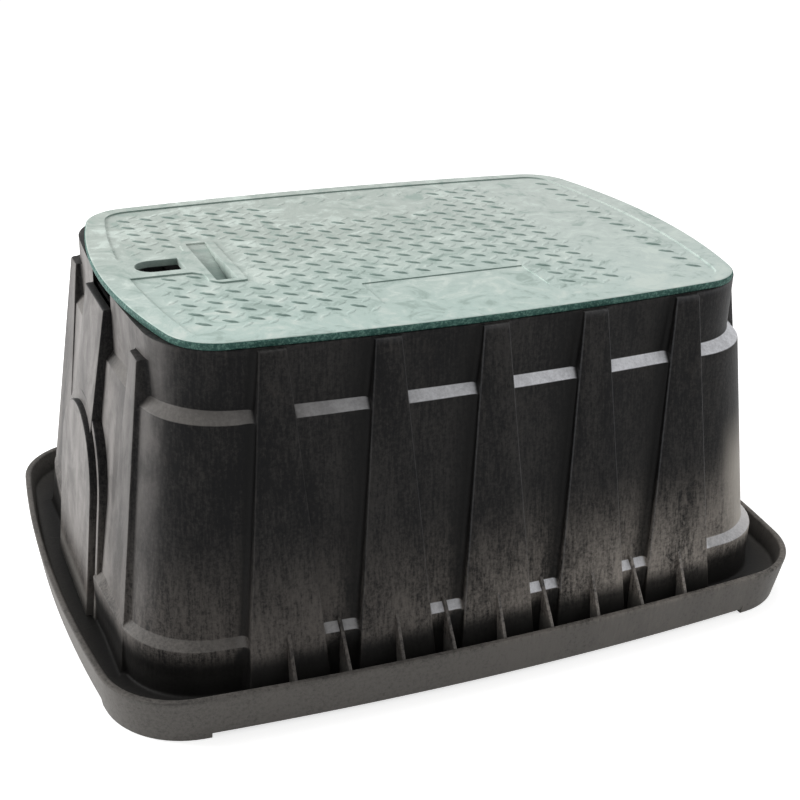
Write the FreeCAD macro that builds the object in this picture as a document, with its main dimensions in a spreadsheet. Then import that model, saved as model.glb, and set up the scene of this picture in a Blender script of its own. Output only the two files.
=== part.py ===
import FreeCAD, Part
import math
import os
import Sketcher
from FreeCAD import Placement, Rotation, Vector

# Rectangular in-ground valve box: a flared body with a turned-up base flange, and a lift-off lid.
# Frame: +Z up, origin on the ground under the box's middle, long side along X.
# The pick hole is at the -X end of the lid.

doc = FreeCAD.newDocument("ValveBox")
sheet = doc.addObject("Spreadsheet::Sheet", "Sizes")

# Driving dimensions in millimetres, angles in degrees
SIZES = {
    # Body wall, from the collar's rim down to the flange
    "wall": 5.0,
    "collar_length": 534.0,
    "collar_width": 382.0,
    "collar_corner": 66.0,
    "collar_top": 299.0,
    "end_bow": 14.0,
    "side_bow": 16.0,
    "upper_ledge_height": 243.0,
    "upper_ledge_rise": 8.0,
    "upper_ledge_width": 6.6,
    "belt_end_bow": 12.0,
    "belt_side_bow": 13.0,
    "waist_length": 594.0,
    "waist_width": 431.0,
    "waist_corner": 66.0,
    "waist_end_bow": 17.0,
    "waist_side_bow": 20.0,
    "lower_ledge_height": 62.5,
    "lower_ledge_rise": 6.5,
    "lower_ledge_width": 6.5,
    "lip_width": 13.0,
    "lip_thickness": 6.0,
    # Base flange: floor, turned-up rim and corner feet
    "flange_length": 666.0,
    "flange_width": 499.0,
    "flange_end_bow": 22.0,
    "flange_side_bow": 18.5,
    "flange_corner": 70.0,
    "flange_height": 41.0,
    "flange_draft": 6.0,
    "flange_wall": 5.5,
    "floor_height": 21.0,
    "floor_thickness": 5.0,
    "foot_height": 4.0,
    "foot_side_start": 247.0,
    "foot_end_start": 164.0,
    # Tapered ribs on the long sides
    "rib_pitch": 90.0,
    "rib_top": 298.0,
    "rib_top_width": 21.5,
    "rib_foot_width": 69.0,
    "rib_top_stand": 4.2,
    "rib_foot_stand": 11.0,
    # Tapered ribs on the short ends
    "end_rib_offset": 118.5,
    "end_rib_top": 279.0,
    "end_rib_top_width": 23.0,
    "end_rib_foot_width": 75.0,
    "end_rib_top_stand": 5.4,
    "end_rib_foot_stand": 1.5,
    # Webs that brace the side walls against the rim
    "web_thickness": 3.0,
    "web_top": 73.0,
    "web_foot": 37.0,
    "web_ledge_cover": 1.5,
    # Block, knock-out and finger notch in the middle of each end
    "block_width": 72.0,
    "block_top": 286.0,
    "block_foot": 165.0,
    "block_top_stand": 6.0,
    "block_foot_stand": 7.5,
    "knock_out_width": 124.0,
    "knock_out_spring": 109.0,
    "knock_out_stand": 6.0,
    "knock_out_lean": 5.3,
    "knock_out_relief": 5.5,
    "knock_out_skin": 4.0,
    "frame_margin": 10.0,
    "groove_width": 3.0,
    "groove_depth": 2.5,
    "notch_width": 70.0,
    # Lid plate
    "lid_end_overhang": 2.0,
    "lid_side_inset": 1.0,
    "lid_end_bow": 32.0,
    "lid_side_bow": 16.0,
    "lid_corner": 45.0,
    "lid_thickness": 6.0,
    "lid_edge_draft": 0.6,
    "lid_bevel": 1.4,
    # Sunk tread field and bare panel
    "field_end_margin": 22.0,
    "field_side_margin": 15.0,
    "field_end_bow": 21.0,
    "field_side_bow": 11.0,
    "field_corner": 25.0,
    "field_depth": 1.5,
    "panel_length": 148.0,
    "panel_width": 51.0,
    "panel_centre_x": 3.5,
    "panel_front_gap": 112.0,
    "panel_depth": 1.0,
    # Tread bars
    "tread_columns": 22,
    "tread_rows": 14,
    "tread_pitch_x": 20.8,
    "tread_pitch_y": 21.2,
    "tread_centre_x": 1.5,
    "tread_centre_y": 2.8,
    "bar_length": 12.5,
    "bar_width": 5.0,
    "bar_height": 1.2,
    "bar_angle": 40.0,
    "blank_margin": 6.5,
    "title_length": 158.0,
    "title_width": 62.0,
    "title_centre_y": 119.0,
    "band_start": 150.0,
    "band_end": 210.0,
    # Raised pad with the pick hole and the lock slot
    "lock_line": 4.5,
    "stem_width": 50.0,
    "crossbar_start": 187.0,
    "crossbar_end": 156.0,
    "crossbar_width": 112.0,
    "pad_corner": 8.0,
    "pick_start": 237.0,
    "pick_end": 197.5,
    "pick_width": 29.0,
    "slot_start": 181.0,
    "slot_end": 163.5,
    "slot_width": 100.0,
    "slot_depth": 15.0,
    "slot_floor": 12.0,
    "slot_box_wall": 3.5,
    # Underside of the lid
    "skirt_clearance": 1.5,
    "skirt_depth": 15.0,
    "skirt_wall": 3.5,
    "lid_rib_depth": 12.0,
    "lid_rib_wall": 3.5,
    "lid_rib_pitch": 104.0,
}

for row, (alias, number) in enumerate(SIZES.items(), start=1):
    sheet.set(f"A{row}", alias)
    sheet.set(f"B{row}", str(number))
    sheet.setAlias(f"B{row}", alias)
doc.recompute()


def size(alias):
    """A cell of the sheet, in millimetres or degrees."""
    return float(sheet.get(alias))


def value(expression):
    """The number that an expression on the sheet's cells gives."""
    return float(sheet.evalExpression(expression))


def bind(thing, **expressions):
    """Bind properties to expressions."""
    for prop, expression in expressions.items():
        thing.setExpression(prop.replace("__", "."), expression)
    return thing


def add_dimension(sketch, name, constraint, expression):
    """Add a named driving constraint and bind it."""
    index = sketch.addConstraint(constraint)
    sketch.renameConstraint(index, name)
    sketch.setExpression(f"Constraints.{name}", expression)


# Sketches

def bowed_outline(name, height, length, width, end_bow, side_bow, corner):
    """Closed outline of eight tangent arcs: a rectangle with bowed sides and round corners.

    Every size is an expression. A side of chord c and bow b has the radius (c/2)^2/2b + b/2.
    """
    half_length = value(f"({length}) / 2")
    half_width = value(f"({width}) / 2")
    corner_radius = value(corner)
    end_rule = f"((({width}) / 2)^2 + ({end_bow})^2) / (2 * ({end_bow}))"
    side_rule = f"((({length}) / 2)^2 + ({side_bow})^2) / (2 * ({side_bow}))"
    end_radius = value(end_rule)
    side_radius = value(side_rule)

    # Centre of the corner arc: inside both side circles by the corner radius
    end_centre = Vector(half_length - end_radius, 0, 0)
    side_centre = Vector(0, half_width - side_radius, 0)
    reach_end = end_radius - corner_radius
    reach_side = side_radius - corner_radius
    span = (side_centre - end_centre).Length
    along = (side_centre - end_centre).normalize()
    across = Vector(along.y, -along.x, 0)
    if across.x + across.y < 0:
        across = across.negative()
    foot = (reach_end**2 - reach_side**2 + span**2) / (2 * span)
    corner_centre = end_centre + along * foot + across * math.sqrt(reach_end**2 - foot**2)
    lean_end = math.atan2(corner_centre.y - end_centre.y, corner_centre.x - end_centre.x)
    lean_side = math.atan2(corner_centre.y - side_centre.y, corner_centre.x - side_centre.x)

    def mirrored(point, sign_x, sign_y):
        return Vector(sign_x * point.x, sign_y * point.y, 0)

    half_turn = math.pi
    full_turn = 2 * math.pi
    arcs = (
        (end_centre, end_radius, -lean_end, lean_end),
        (corner_centre, corner_radius, lean_end, lean_side),
        (side_centre, side_radius, lean_side, half_turn - lean_side),
        (mirrored(corner_centre, -1, 1), corner_radius, half_turn - lean_side, half_turn - lean_end),
        (mirrored(end_centre, -1, 1), end_radius, half_turn - lean_end, half_turn + lean_end),
        (mirrored(corner_centre, -1, -1), corner_radius, half_turn + lean_end, half_turn + lean_side),
        (mirrored(side_centre, 1, -1), side_radius, half_turn + lean_side, full_turn - lean_side),
        (mirrored(corner_centre, 1, -1), corner_radius, full_turn - lean_side, full_turn - lean_end),
    )
    sketch = doc.addObject("Sketcher::SketchObject", name)
    for centre, radius, start, end in arcs:
        circle = Part.Circle(centre, Vector(0, 0, 1), radius)
        sketch.addGeometry(Part.ArcOfCircle(circle, start, end), False)

    rule = Sketcher.Constraint
    joins = [rule("Tangent", arc, 2, (arc + 1) % len(arcs), 1) for arc in range(len(arcs))]
    equals = [rule("Equal", 1, 3), rule("Equal", 1, 5), rule("Equal", 1, 7), rule("Equal", 0, 4), rule("Equal", 2, 6)]
    on_axis = [rule("PointOnObject", 0, 3, -1), rule("PointOnObject", 4, 3, -1)]
    on_axis += [rule("PointOnObject", 2, 3, -2), rule("PointOnObject", 6, 3, -2)]
    sketch.addConstraint(joins + equals + on_axis)

    end_gap = end_radius - half_length
    side_gap = side_radius - half_width
    end_gap_rule = f"{end_rule} - ({length}) / 2"
    side_gap_rule = f"{side_rule} - ({width}) / 2"
    add_dimension(sketch, "end_radius", rule("Radius", 0, end_radius), end_rule)
    add_dimension(sketch, "side_radius", rule("Radius", 2, side_radius), side_rule)
    add_dimension(sketch, "corner_radius", rule("Radius", 1, corner_radius), corner)
    add_dimension(sketch, "right_centre", rule("DistanceX", 0, 3, -1, 1, end_gap), end_gap_rule)
    add_dimension(sketch, "left_centre", rule("DistanceX", -1, 1, 4, 3, end_gap), end_gap_rule)
    add_dimension(sketch, "back_centre", rule("DistanceY", 2, 3, -1, 1, side_gap), side_gap_rule)
    add_dimension(sketch, "front_centre", rule("DistanceY", -1, 1, 6, 3, side_gap), side_gap_rule)
    return bind(sketch, Placement__Base__z=height)


def polygon(name, placement, corners):
    """Closed polygon whose corners are pairs of expressions."""
    sketch = doc.addObject("Sketcher::SketchObject", name)
    sketch.Placement = placement
    points = [Vector(value(across), value(up), 0) for across, up in corners]
    count = len(points)
    for index in range(count):
        sketch.addGeometry(Part.LineSegment(points[index], points[(index + 1) % count]), False)
    rule = Sketcher.Constraint
    sketch.addConstraint([rule("Coincident", index, 2, (index + 1) % count, 1) for index in range(count)])
    for index, (across, up) in enumerate(corners):
        add_dimension(sketch, f"across_{index}", rule("DistanceX", index, 1, points[index].x), across)
        add_dimension(sketch, f"up_{index}", rule("DistanceY", index, 1, points[index].y), up)
    return sketch


def arch(name, placement, width, spring, sill):
    """Doorway outline: a sill, two jambs and a half-round head. All sizes are expressions."""
    half = value(f"({width}) / 2")
    head = value(spring)
    base = value(sill)
    sketch = doc.addObject("Sketcher::SketchObject", name)
    sketch.Placement = placement
    sketch.addGeometry(Part.LineSegment(Vector(-half, base, 0), Vector(half, base, 0)), False)
    sketch.addGeometry(Part.LineSegment(Vector(half, base, 0), Vector(half, head, 0)), False)
    sketch.addGeometry(Part.ArcOfCircle(Part.Circle(Vector(0, head, 0), Vector(0, 0, 1), half), 0, math.pi), False)
    sketch.addGeometry(Part.LineSegment(Vector(-half, head, 0), Vector(-half, base, 0)), False)
    rule = Sketcher.Constraint
    sketch.addConstraint([
        rule("Coincident", 0, 2, 1, 1),
        rule("Tangent", 1, 2, 2, 1),
        rule("Tangent", 2, 2, 3, 1),
        rule("Coincident", 3, 2, 0, 1),
        rule("Horizontal", 0),
        rule("Vertical", 1),
        rule("Vertical", 3),
        rule("PointOnObject", 2, 3, -2),
    ])
    add_dimension(sketch, "radius", rule("Radius", 2, half), f"({width}) / 2")
    add_dimension(sketch, "spring", rule("DistanceY", 2, 3, head), spring)
    add_dimension(sketch, "sill", rule("DistanceY", 0, 1, base), sill)
    return sketch


# Solids

def loft(name, sections):
    """Ruled loft through closed sketches, a straight wall from each to the next."""
    solid = doc.addObject("Part::Loft", name)
    solid.Sections = sections
    solid.Solid = True
    solid.Ruled = True
    return solid


def extrude(name, sketch, length, symmetric=False):
    """Solid swept along a sketch's normal."""
    solid = doc.addObject("Part::Extrusion", name)
    solid.Base = sketch
    solid.DirMode = "Normal"
    solid.Solid = True
    solid.Symmetric = symmetric
    return bind(solid, LengthFwd=length)


def box(name, low, high):
    """Block between two corners of expressions."""
    solid = doc.addObject("Part::Box", name)
    bind(solid, Placement__Base__x=low[0], Placement__Base__y=low[1], Placement__Base__z=low[2])
    return bind(
        solid,
        Length=f"({high[0]}) - ({low[0]})",
        Width=f"({high[1]}) - ({low[1]})",
        Height=f"({high[2]}) - ({low[2]})",
    )


def wall_frame(turn):
    """Frame of a wall: x along it, y up, z outward. A turn of 0 is the front, at -Y."""
    return Placement(Vector(), Rotation(Vector(0, 0, 1), turn) * Rotation(Vector(1, 0, 0), 90))


def taper(name, turn, middle, low, high, root):
    """Tapered rib on a wall. low and high are (height, width, reach) of its foot and its top."""
    solid = doc.addObject("Part::Wedge", name)
    solid.Placement = wall_frame(turn)
    return bind(
        solid,
        Ymin=low[0],
        Xmin=f"({middle}) - ({low[1]}) / 2",
        Xmax=f"({middle}) + ({low[1]}) / 2",
        Zmin=root,
        Zmax=low[2],
        Ymax=high[0],
        X2min=f"({middle}) - ({high[1]}) / 2",
        X2max=f"({middle}) + ({high[1]}) / 2",
        Z2min=root,
        Z2max=high[2],
    )


def fuse(name, solids):
    """Union of several solids."""
    solid = doc.addObject("Part::MultiFuse", name)
    solid.Shapes = solids
    solid.Refine = False
    return solid


def cut(name, base, tool):
    """One solid less another."""
    solid = doc.addObject("Part::Cut", name)
    solid.Base = base
    solid.Tool = tool
    return solid


def common(name, first, second):
    """What two solids share."""
    solid = doc.addObject("Part::Common", name)
    solid.Base = first
    solid.Tool = second
    return solid


# Rules that several pieces share
LONG_SIDES = {"front": 0, "back": 180}
SHORT_ENDS = {"left": -90, "right": 90}
BELT_LENGTH = "(Sizes.collar_length + 2 * Sizes.upper_ledge_width)"
BELT_WIDTH = "(Sizes.collar_width + 2 * Sizes.upper_ledge_width)"
HEM_LENGTH = "(Sizes.waist_length + 2 * Sizes.lower_ledge_width)"
HEM_WIDTH = "(Sizes.waist_width + 2 * Sizes.lower_ledge_width)"
FLOOR_UNDERSIDE = "(Sizes.floor_height - Sizes.floor_thickness)"
LID_TOP = "(Sizes.collar_top + Sizes.lid_thickness)"
LID_LENGTH = "(Sizes.collar_length + 2 * Sizes.lid_end_overhang)"
LID_WIDTH = "(Sizes.collar_width - 2 * Sizes.lid_side_inset)"
FIELD_FLOOR = f"({LID_TOP} - Sizes.field_depth)"
LIP_INSET = "(Sizes.wall + Sizes.lip_width)"
INTO_PLATE = "(Sizes.lid_thickness / 3)"
OVERCUT = 10


def bow_drop(offset, length, bow):
    """How far a bowed side falls back from its middle, at an offset along it."""
    return f"(({offset})^2 / 2 / (((({length}) / 2)^2 + ({bow})^2) / (2 * ({bow}))))"


# Body shell

COLLAR = ("Sizes.collar_length", "Sizes.collar_width", "Sizes.end_bow", "Sizes.side_bow", "Sizes.collar_corner")
BELT = (BELT_LENGTH, BELT_WIDTH, "Sizes.belt_end_bow", "Sizes.belt_side_bow", "Sizes.waist_corner")
WAIST = ("Sizes.waist_length", "Sizes.waist_width", "Sizes.waist_end_bow", "Sizes.waist_side_bow",
         "Sizes.waist_corner")
HEM = (HEM_LENGTH, HEM_WIDTH) + WAIST[2:]


def wall_outline(name, height, stage, inset):
    """Outline of the wall at one of its stages, moved inward by inset."""
    length, width, end_bow, side_bow, corner = stage
    return bowed_outline(
        name,
        height,
        f"{length} - 2 * {inset}",
        f"{width} - 2 * {inset}",
        end_bow,
        side_bow,
        f"{corner} - {inset}",
    )


def shell(name, top, inset, foot):
    """Wall from the rim down: collar, sloped ledge and flared waist, then the stages of its foot."""
    stages = (
        ("rim", top, COLLAR),
        ("ledge", f"Sizes.upper_ledge_height + Sizes.upper_ledge_rise - {inset}", COLLAR),
        ("belt", f"Sizes.upper_ledge_height - {inset}", BELT),
        ("waist", f"Sizes.lower_ledge_height + Sizes.lower_ledge_rise - {inset}", WAIST),
    ) + foot
    return loft(name, [wall_outline(f"{name}_{label}", height, stage, inset) for label, height, stage in stages])


# Outside, a second ledge leads out to an upright hem; inside, the wall is upright from the waist down
outer_foot = (("hem", "Sizes.lower_ledge_height", HEM), ("base", FLOOR_UNDERSIDE, HEM))
inner_foot = (("base", f"-{OVERCUT}", WAIST),)
outer_shell = shell("outer_shell", "Sizes.collar_top", "0", outer_foot)
inner_shell = shell("inner_shell", "Sizes.collar_top - Sizes.lip_thickness", "Sizes.wall", inner_foot)
mouth_outline = wall_outline(
    "mouth_outline", f"Sizes.collar_top - Sizes.lip_thickness - {OVERCUT}", COLLAR, LIP_INSET)
mouth = extrude("mouth", mouth_outline, f"Sizes.lip_thickness + {2 * OVERCUT}")


# Base flange

def flange_stage(name, height, inset):
    """Outline of the flange at a height, drafted inward towards the ground."""
    draft = f"Sizes.flange_draft * (1 - ({height}) / Sizes.flange_height)"
    return bowed_outline(
        name,
        height,
        f"Sizes.flange_length - 2 * {inset} - 2 * {draft}",
        f"Sizes.flange_width - 2 * {inset} - 2 * {draft}",
        "Sizes.flange_end_bow",
        "Sizes.flange_side_bow",
        f"Sizes.flange_corner - {inset}",
    )


def flange_slab(name, low, high, inset):
    """Flange-shaped block between two heights."""
    return loft(name, [flange_stage(f"{name}_low", low, inset), flange_stage(f"{name}_high", high, inset)])


flange_block = flange_slab("flange_block", "0", "Sizes.flange_height", "0")
trough = flange_slab("trough", "Sizes.floor_height", "Sizes.flange_height", "Sizes.flange_wall")
undercut = extrude("undercut", flange_stage("undercut_outline", "0", "Sizes.flange_wall"), FLOOR_UNDERSIDE)
foot_gaps = [
    box(
        "foot_gap_sides",
        ("-Sizes.foot_side_start", "-Sizes.flange_width", f"-{OVERCUT}"),
        ("Sizes.foot_side_start", "Sizes.flange_width", "Sizes.foot_height"),
    ),
    box(
        "foot_gap_ends",
        ("-Sizes.flange_length", "-Sizes.foot_end_start", f"-{OVERCUT}"),
        ("Sizes.flange_length", "Sizes.foot_end_start", "Sizes.foot_height"),
    ),
]
flange = cut("flange", flange_block, fuse("flange_hollows", [trough, undercut] + foot_gaps))


# Ribs on the walls; those on the long sides are hollow behind

def rib_pair(name, turn, middle, low, high, root):
    """A tapered rib and the hollow behind it, one wall thickness inside."""
    inside_low = (f"{low[0]} - {OVERCUT}", f"({low[1]}) - 2 * Sizes.wall", f"({low[2]}) - Sizes.wall")
    inside_high = (f"{high[0]} - 2 * Sizes.wall", f"({high[1]}) - 2 * Sizes.wall", f"({high[2]}) - Sizes.wall")
    solid = taper(name, turn, middle, low, high, root)
    hollow = taper(f"{name}_hollow", turn, middle, inside_low, inside_high, root)
    return solid, hollow


ribs = []
hollows = []
for side, turn in LONG_SIDES.items():
    for index in (-2, -1, 0, 1, 2):
        middle = f"{index} * Sizes.rib_pitch"
        drop = bow_drop(middle, "Sizes.waist_length", "Sizes.side_bow")
        low = (FLOOR_UNDERSIDE, "Sizes.rib_foot_width", f"({HEM_WIDTH}) / 2 + Sizes.rib_foot_stand - {drop}")
        high = ("Sizes.rib_top", "Sizes.rib_top_width", f"Sizes.collar_width / 2 + Sizes.rib_top_stand - {drop}")
        root = "Sizes.collar_width / 2 - 2 * Sizes.wall - Sizes.side_bow"
        rib, hollow = rib_pair(f"{side}_rib_{index + 3}", turn, middle, low, high, root)
        ribs.append(rib)
        hollows.append(hollow)

for end, turn in SHORT_ENDS.items():
    for index in (-1, 1):
        middle = f"{index} * Sizes.end_rib_offset"
        drop = bow_drop(middle, "Sizes.waist_width", "Sizes.end_bow")
        low = (FLOOR_UNDERSIDE, "Sizes.end_rib_foot_width",
               f"({HEM_LENGTH}) / 2 + Sizes.end_rib_foot_stand - {drop}")
        high = ("Sizes.end_rib_top", "Sizes.end_rib_top_width",
                f"Sizes.collar_length / 2 + Sizes.end_rib_top_stand - {drop}")
        root = "Sizes.collar_length / 2 - 2 * Sizes.wall - Sizes.end_bow"
        ribs.append(taper(f"{end}_rib_{(index + 3) // 2}", turn, middle, low, high, root))


# Webs between the side walls and the flange's rim

def web(name, turn, index):
    """Thin sloped web. Even ones stand on a rib's middle, odd ones between two ribs."""
    offset = f"{index} * Sizes.rib_pitch / 2"
    wall_drop = bow_drop(offset, "Sizes.waist_length", "Sizes.side_bow")
    rim_drop = bow_drop(offset, "Sizes.flange_length", "Sizes.flange_side_bow")
    rim = f"Sizes.flange_width / 2 - Sizes.flange_draft - Sizes.flange_wall - {rim_drop}"
    rim_face = f"{rim} + Sizes.flange_draft * Sizes.web_foot / Sizes.flange_height"
    rib_foot = f"(({HEM_WIDTH}) / 2 + Sizes.rib_foot_stand)"
    rib_top = "(Sizes.collar_width / 2 + Sizes.rib_top_stand)"
    share = f"((Sizes.web_top - {FLOOR_UNDERSIDE}) / (Sizes.rib_top - {FLOOR_UNDERSIDE}))"
    on_rib = f"{rib_foot} + ({rib_top} - {rib_foot}) * {share} - {wall_drop}"
    on_wall = f"Sizes.waist_width / 2 + Sizes.web_ledge_cover - {wall_drop}"
    head = on_rib if index % 2 == 0 else on_wall
    root = f"Sizes.waist_width / 2 - Sizes.wall / 2 - {wall_drop}"
    foot = "Sizes.floor_height - Sizes.floor_thickness / 2"
    lap = "Sizes.flange_wall / 3"
    placement = wall_frame(turn - 90)
    local_offset = value(offset)
    placement.Base = wall_frame(turn).multVec(Vector(local_offset, 0, 0))
    sketch = polygon(f"{name}_profile", placement, (
        (root, foot),
        (f"{rim} + {lap}", foot),
        (f"{rim_face} + {lap}", "Sizes.web_foot"),
        (rim_face, "Sizes.web_foot"),
        (head, "Sizes.web_top"),
        (root, "Sizes.web_top"),
    ))
    return extrude(name, sketch, "Sizes.web_thickness", symmetric=True)


webs = [
    web(f"{side}_web_{index + 5}", turn, index)
    for side, turn in LONG_SIDES.items()
    for index in range(-4, 5)
]


# Block, knock-out and finger notch in the middle of each end

def knock_out_frame(turn, setback):
    """Plane of the knock-out's face, leaning in towards its head, moved back by setback."""
    lean = size("knock_out_lean")
    reach = value(f"({HEM_LENGTH}) / 2 + Sizes.knock_out_stand")
    outward = Vector(0, math.sin(math.radians(lean)), math.cos(math.radians(lean)))
    origin = Vector(0, size("floor_height"), reach) - outward * setback
    return wall_frame(turn) * Placement(origin, Rotation(Vector(1, 0, 0), -lean))


def doorway(name, turn, setback, depth, margin, sill):
    """Arched block under a plane that lies setback behind the knock-out's face."""
    placement = knock_out_frame(turn, setback + depth)
    width = f"Sizes.knock_out_width + 2 * ({margin})"
    return extrude(name, arch(f"{name}_outline", placement, width, "Sizes.knock_out_spring", sill), str(depth))


end_solids = []
end_hollows = []
grooves = []
for end, turn in SHORT_ENDS.items():
    relief = size("knock_out_relief")
    skin = size("knock_out_skin")
    thick = 3 * size("wall") + relief
    into_floor = "-Sizes.floor_thickness / 2"
    end_solids.append(doorway(f"{end}_frame", turn, relief, thick, "Sizes.frame_margin", into_floor))
    end_solids.append(doorway(f"{end}_knock_out", turn, 0, thick, "0", into_floor))
    end_hollows.append(doorway(f"{end}_recess", turn, skin, 2 * thick, "-Sizes.knock_out_skin", f"-{2 * OVERCUT}"))
    groove_depth = value("Sizes.knock_out_relief + Sizes.groove_depth")
    ring = doorway(f"{end}_ring", turn, 0, groove_depth, "Sizes.groove_width", "0")
    core = doorway(f"{end}_core", turn, -1, groove_depth + 2, "0", "-1")
    grooves.append(cut(f"{end}_groove", ring, core))

    low = ("Sizes.block_foot", "Sizes.block_width",
           f"(({BELT_LENGTH}) + Sizes.waist_length) / 4 + Sizes.block_foot_stand")
    high = ("Sizes.block_top", "Sizes.block_width", "Sizes.collar_length / 2 + Sizes.block_top_stand")
    root = "Sizes.collar_length / 2 - 2 * Sizes.wall"
    block, hollow = rib_pair(f"{end}_block", turn, "0", low, high, root)
    end_solids.append(block)
    end_hollows.append(hollow)

notch = box(
    "finger_notch",
    ("-Sizes.collar_length", "-Sizes.notch_width / 2", "Sizes.block_top"),
    ("Sizes.collar_length", "Sizes.notch_width / 2", f"Sizes.collar_top + {OVERCUT}"),
)

# Body: shell, flange, ribs, webs and end blocks as one moulding
outside = fuse("outside", [outer_shell, flange] + ribs + webs + end_solids)
inside = fuse("inside", [inner_shell, mouth] + hollows + end_hollows)
openings = fuse("openings", [inside, notch] + grooves)
box_body = cut("box_body", outside, openings)


# Lid plate

def lid_stage(name, height, inset):
    """Outline of the lid at a height."""
    return bowed_outline(
        name,
        height,
        f"{LID_LENGTH} - 2 * {inset}",
        f"{LID_WIDTH} - 2 * {inset}",
        "Sizes.lid_end_bow",
        "Sizes.lid_side_bow",
        "Sizes.lid_corner",
    )


plate = loft("plate", [
    lid_stage("plate_underside", "Sizes.collar_top", "Sizes.lid_edge_draft"),
    lid_stage("plate_edge", f"{LID_TOP} - Sizes.lid_bevel", "0"),
    lid_stage("plate_top", LID_TOP, "Sizes.lid_bevel"),
])

# Tread field, sunk below the plain border; the pad with the holes stays at the border's height
field_outline = bowed_outline(
    "field_outline",
    FIELD_FLOOR,
    f"{LID_LENGTH} - 2 * Sizes.field_end_margin",
    f"{LID_WIDTH} - 2 * Sizes.field_side_margin",
    "Sizes.field_end_bow",
    "Sizes.field_side_bow",
    "Sizes.field_corner",
)
field_block = extrude("field_block", field_outline, f"Sizes.field_depth + {OVERCUT}")
STEM_LOW = "(Sizes.lock_line - Sizes.stem_width / 2)"
STEM_HIGH = "(Sizes.lock_line + Sizes.stem_width / 2)"
BAR_LOW = "(Sizes.lock_line - Sizes.crossbar_width / 2)"
BAR_HIGH = "(Sizes.lock_line + Sizes.crossbar_width / 2)"
pad_level = Placement(Vector(0, 0, value(FIELD_FLOOR)), Rotation())
pad_outline = polygon("pad_outline", pad_level, (
    (f"-({LID_LENGTH}) / 2", STEM_LOW),
    ("-Sizes.crossbar_start - Sizes.pad_corner", STEM_LOW),
    ("-Sizes.crossbar_start", f"{STEM_LOW} - Sizes.pad_corner"),
    ("-Sizes.crossbar_start", f"{BAR_LOW} + Sizes.pad_corner"),
    ("-Sizes.crossbar_start + Sizes.pad_corner", BAR_LOW),
    ("-Sizes.crossbar_end", BAR_LOW),
    ("-Sizes.crossbar_end", BAR_HIGH),
    ("-Sizes.crossbar_start + Sizes.pad_corner", BAR_HIGH),
    ("-Sizes.crossbar_start", f"{BAR_HIGH} - Sizes.pad_corner"),
    ("-Sizes.crossbar_start", f"{STEM_HIGH} + Sizes.pad_corner"),
    ("-Sizes.crossbar_start - Sizes.pad_corner", STEM_HIGH),
    (f"-({LID_LENGTH}) / 2", STEM_HIGH),
))
pad = extrude("pad", pad_outline, f"Sizes.field_depth + {OVERCUT}")
field = cut("field", field_block, pad)
panel = box(
    "panel",
    ("Sizes.panel_centre_x - Sizes.panel_length / 2", "-Sizes.panel_front_gap - Sizes.panel_width / 2",
     f"{FIELD_FLOOR} - Sizes.panel_depth"),
    ("Sizes.panel_centre_x + Sizes.panel_length / 2", "-Sizes.panel_front_gap + Sizes.panel_width / 2",
     f"{LID_TOP} + {OVERCUT}"),
)


# Tread bars

def inside_field(x, y):
    """Whether a tread bar at a point keeps clear of the field's edge."""
    margin = size("blank_margin")
    half_length = value(f"({LID_LENGTH}) / 2 - Sizes.field_end_margin") - margin
    half_width = value(f"({LID_WIDTH}) / 2 - Sizes.field_side_margin") - margin
    end_edge = half_length - size("field_end_bow") * (y / half_width) ** 2
    side_edge = half_width - size("field_side_bow") * (x / half_length) ** 2
    return abs(x) < end_edge and abs(y) < side_edge


def blank_areas():
    """Rectangles without tread: title, panel, plain band and the pad with the holes."""
    margin = size("blank_margin")
    title_y = size("title_centre_y")
    half_title = size("title_width") / 2
    middle = size("tread_centre_x")
    half_title_length = size("title_length") / 2
    panel_x = size("panel_centre_x")
    panel_y = -size("panel_front_gap")
    reach_x = size("panel_length") / 2 + margin
    reach_y = size("panel_width") / 2 + margin
    far = value(LID_LENGTH)
    return (
        (middle - half_title_length, middle + half_title_length, title_y - half_title, title_y + half_title),
        (panel_x - reach_x, panel_x + reach_x, -far, panel_y + reach_y),
        (size("band_start"), size("band_end"), -far, far),
        (-far, -size("crossbar_end") + margin, value(STEM_LOW) - margin, value(STEM_HIGH) + margin),
        (-size("crossbar_start") - margin, -size("crossbar_end") + margin,
         value(BAR_LOW) - margin, value(BAR_HIGH) + margin),
    )


def bar_shape(x, y, angle):
    """One raised bar: a lozenge whose four faces rise to a peak, rooted below the field's floor."""
    half_length = size("bar_length") / 2
    half_width = size("bar_width") / 2
    height = size("bar_height")
    place = Placement(Vector(x, y, value(FIELD_FLOOR)), Rotation(Vector(0, 0, 1), angle))
    corners = [
        place.multVec(Vector(2 * across, 2 * up, -height))
        for across, up in ((half_length, 0), (0, half_width), (-half_length, 0), (0, -half_width))
    ]
    peak = place.multVec(Vector(0, 0, height))
    faces = [Part.Face(Part.makePolygon([corners[i - 1], corners[i], peak, corners[i - 1]])) for i in range(4)]
    faces.append(Part.Face(Part.makePolygon(corners + corners[:1])))
    return Part.makeSolid(Part.makeShell(faces))


def tread_bars():
    """Bars in staggered rows, all leaning one way, except on the blank areas."""
    pitch_x = size("tread_pitch_x")
    pitch_y = size("tread_pitch_y")
    columns = int(size("tread_columns"))
    rows = int(size("tread_rows"))
    blanks = blank_areas()
    bars = []
    for column in range(columns):
        for row in range(rows):
            x = size("tread_centre_x") + (column - (columns - 1) / 2) * pitch_x
            y = size("tread_centre_y") + (row - (rows - 1) / 2) * pitch_y
            covered = any(x0 < x < x1 and y0 < y < y1 for x0, x1, y0, y1 in blanks)
            if inside_field(x, y) and not covered:
                bars.append(bar_shape(x, y, -size("bar_angle")))
    return bars


tread = doc.addObject("Part::Feature", "tread")
tread.Shape = Part.makeCompound(tread_bars())

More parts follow.
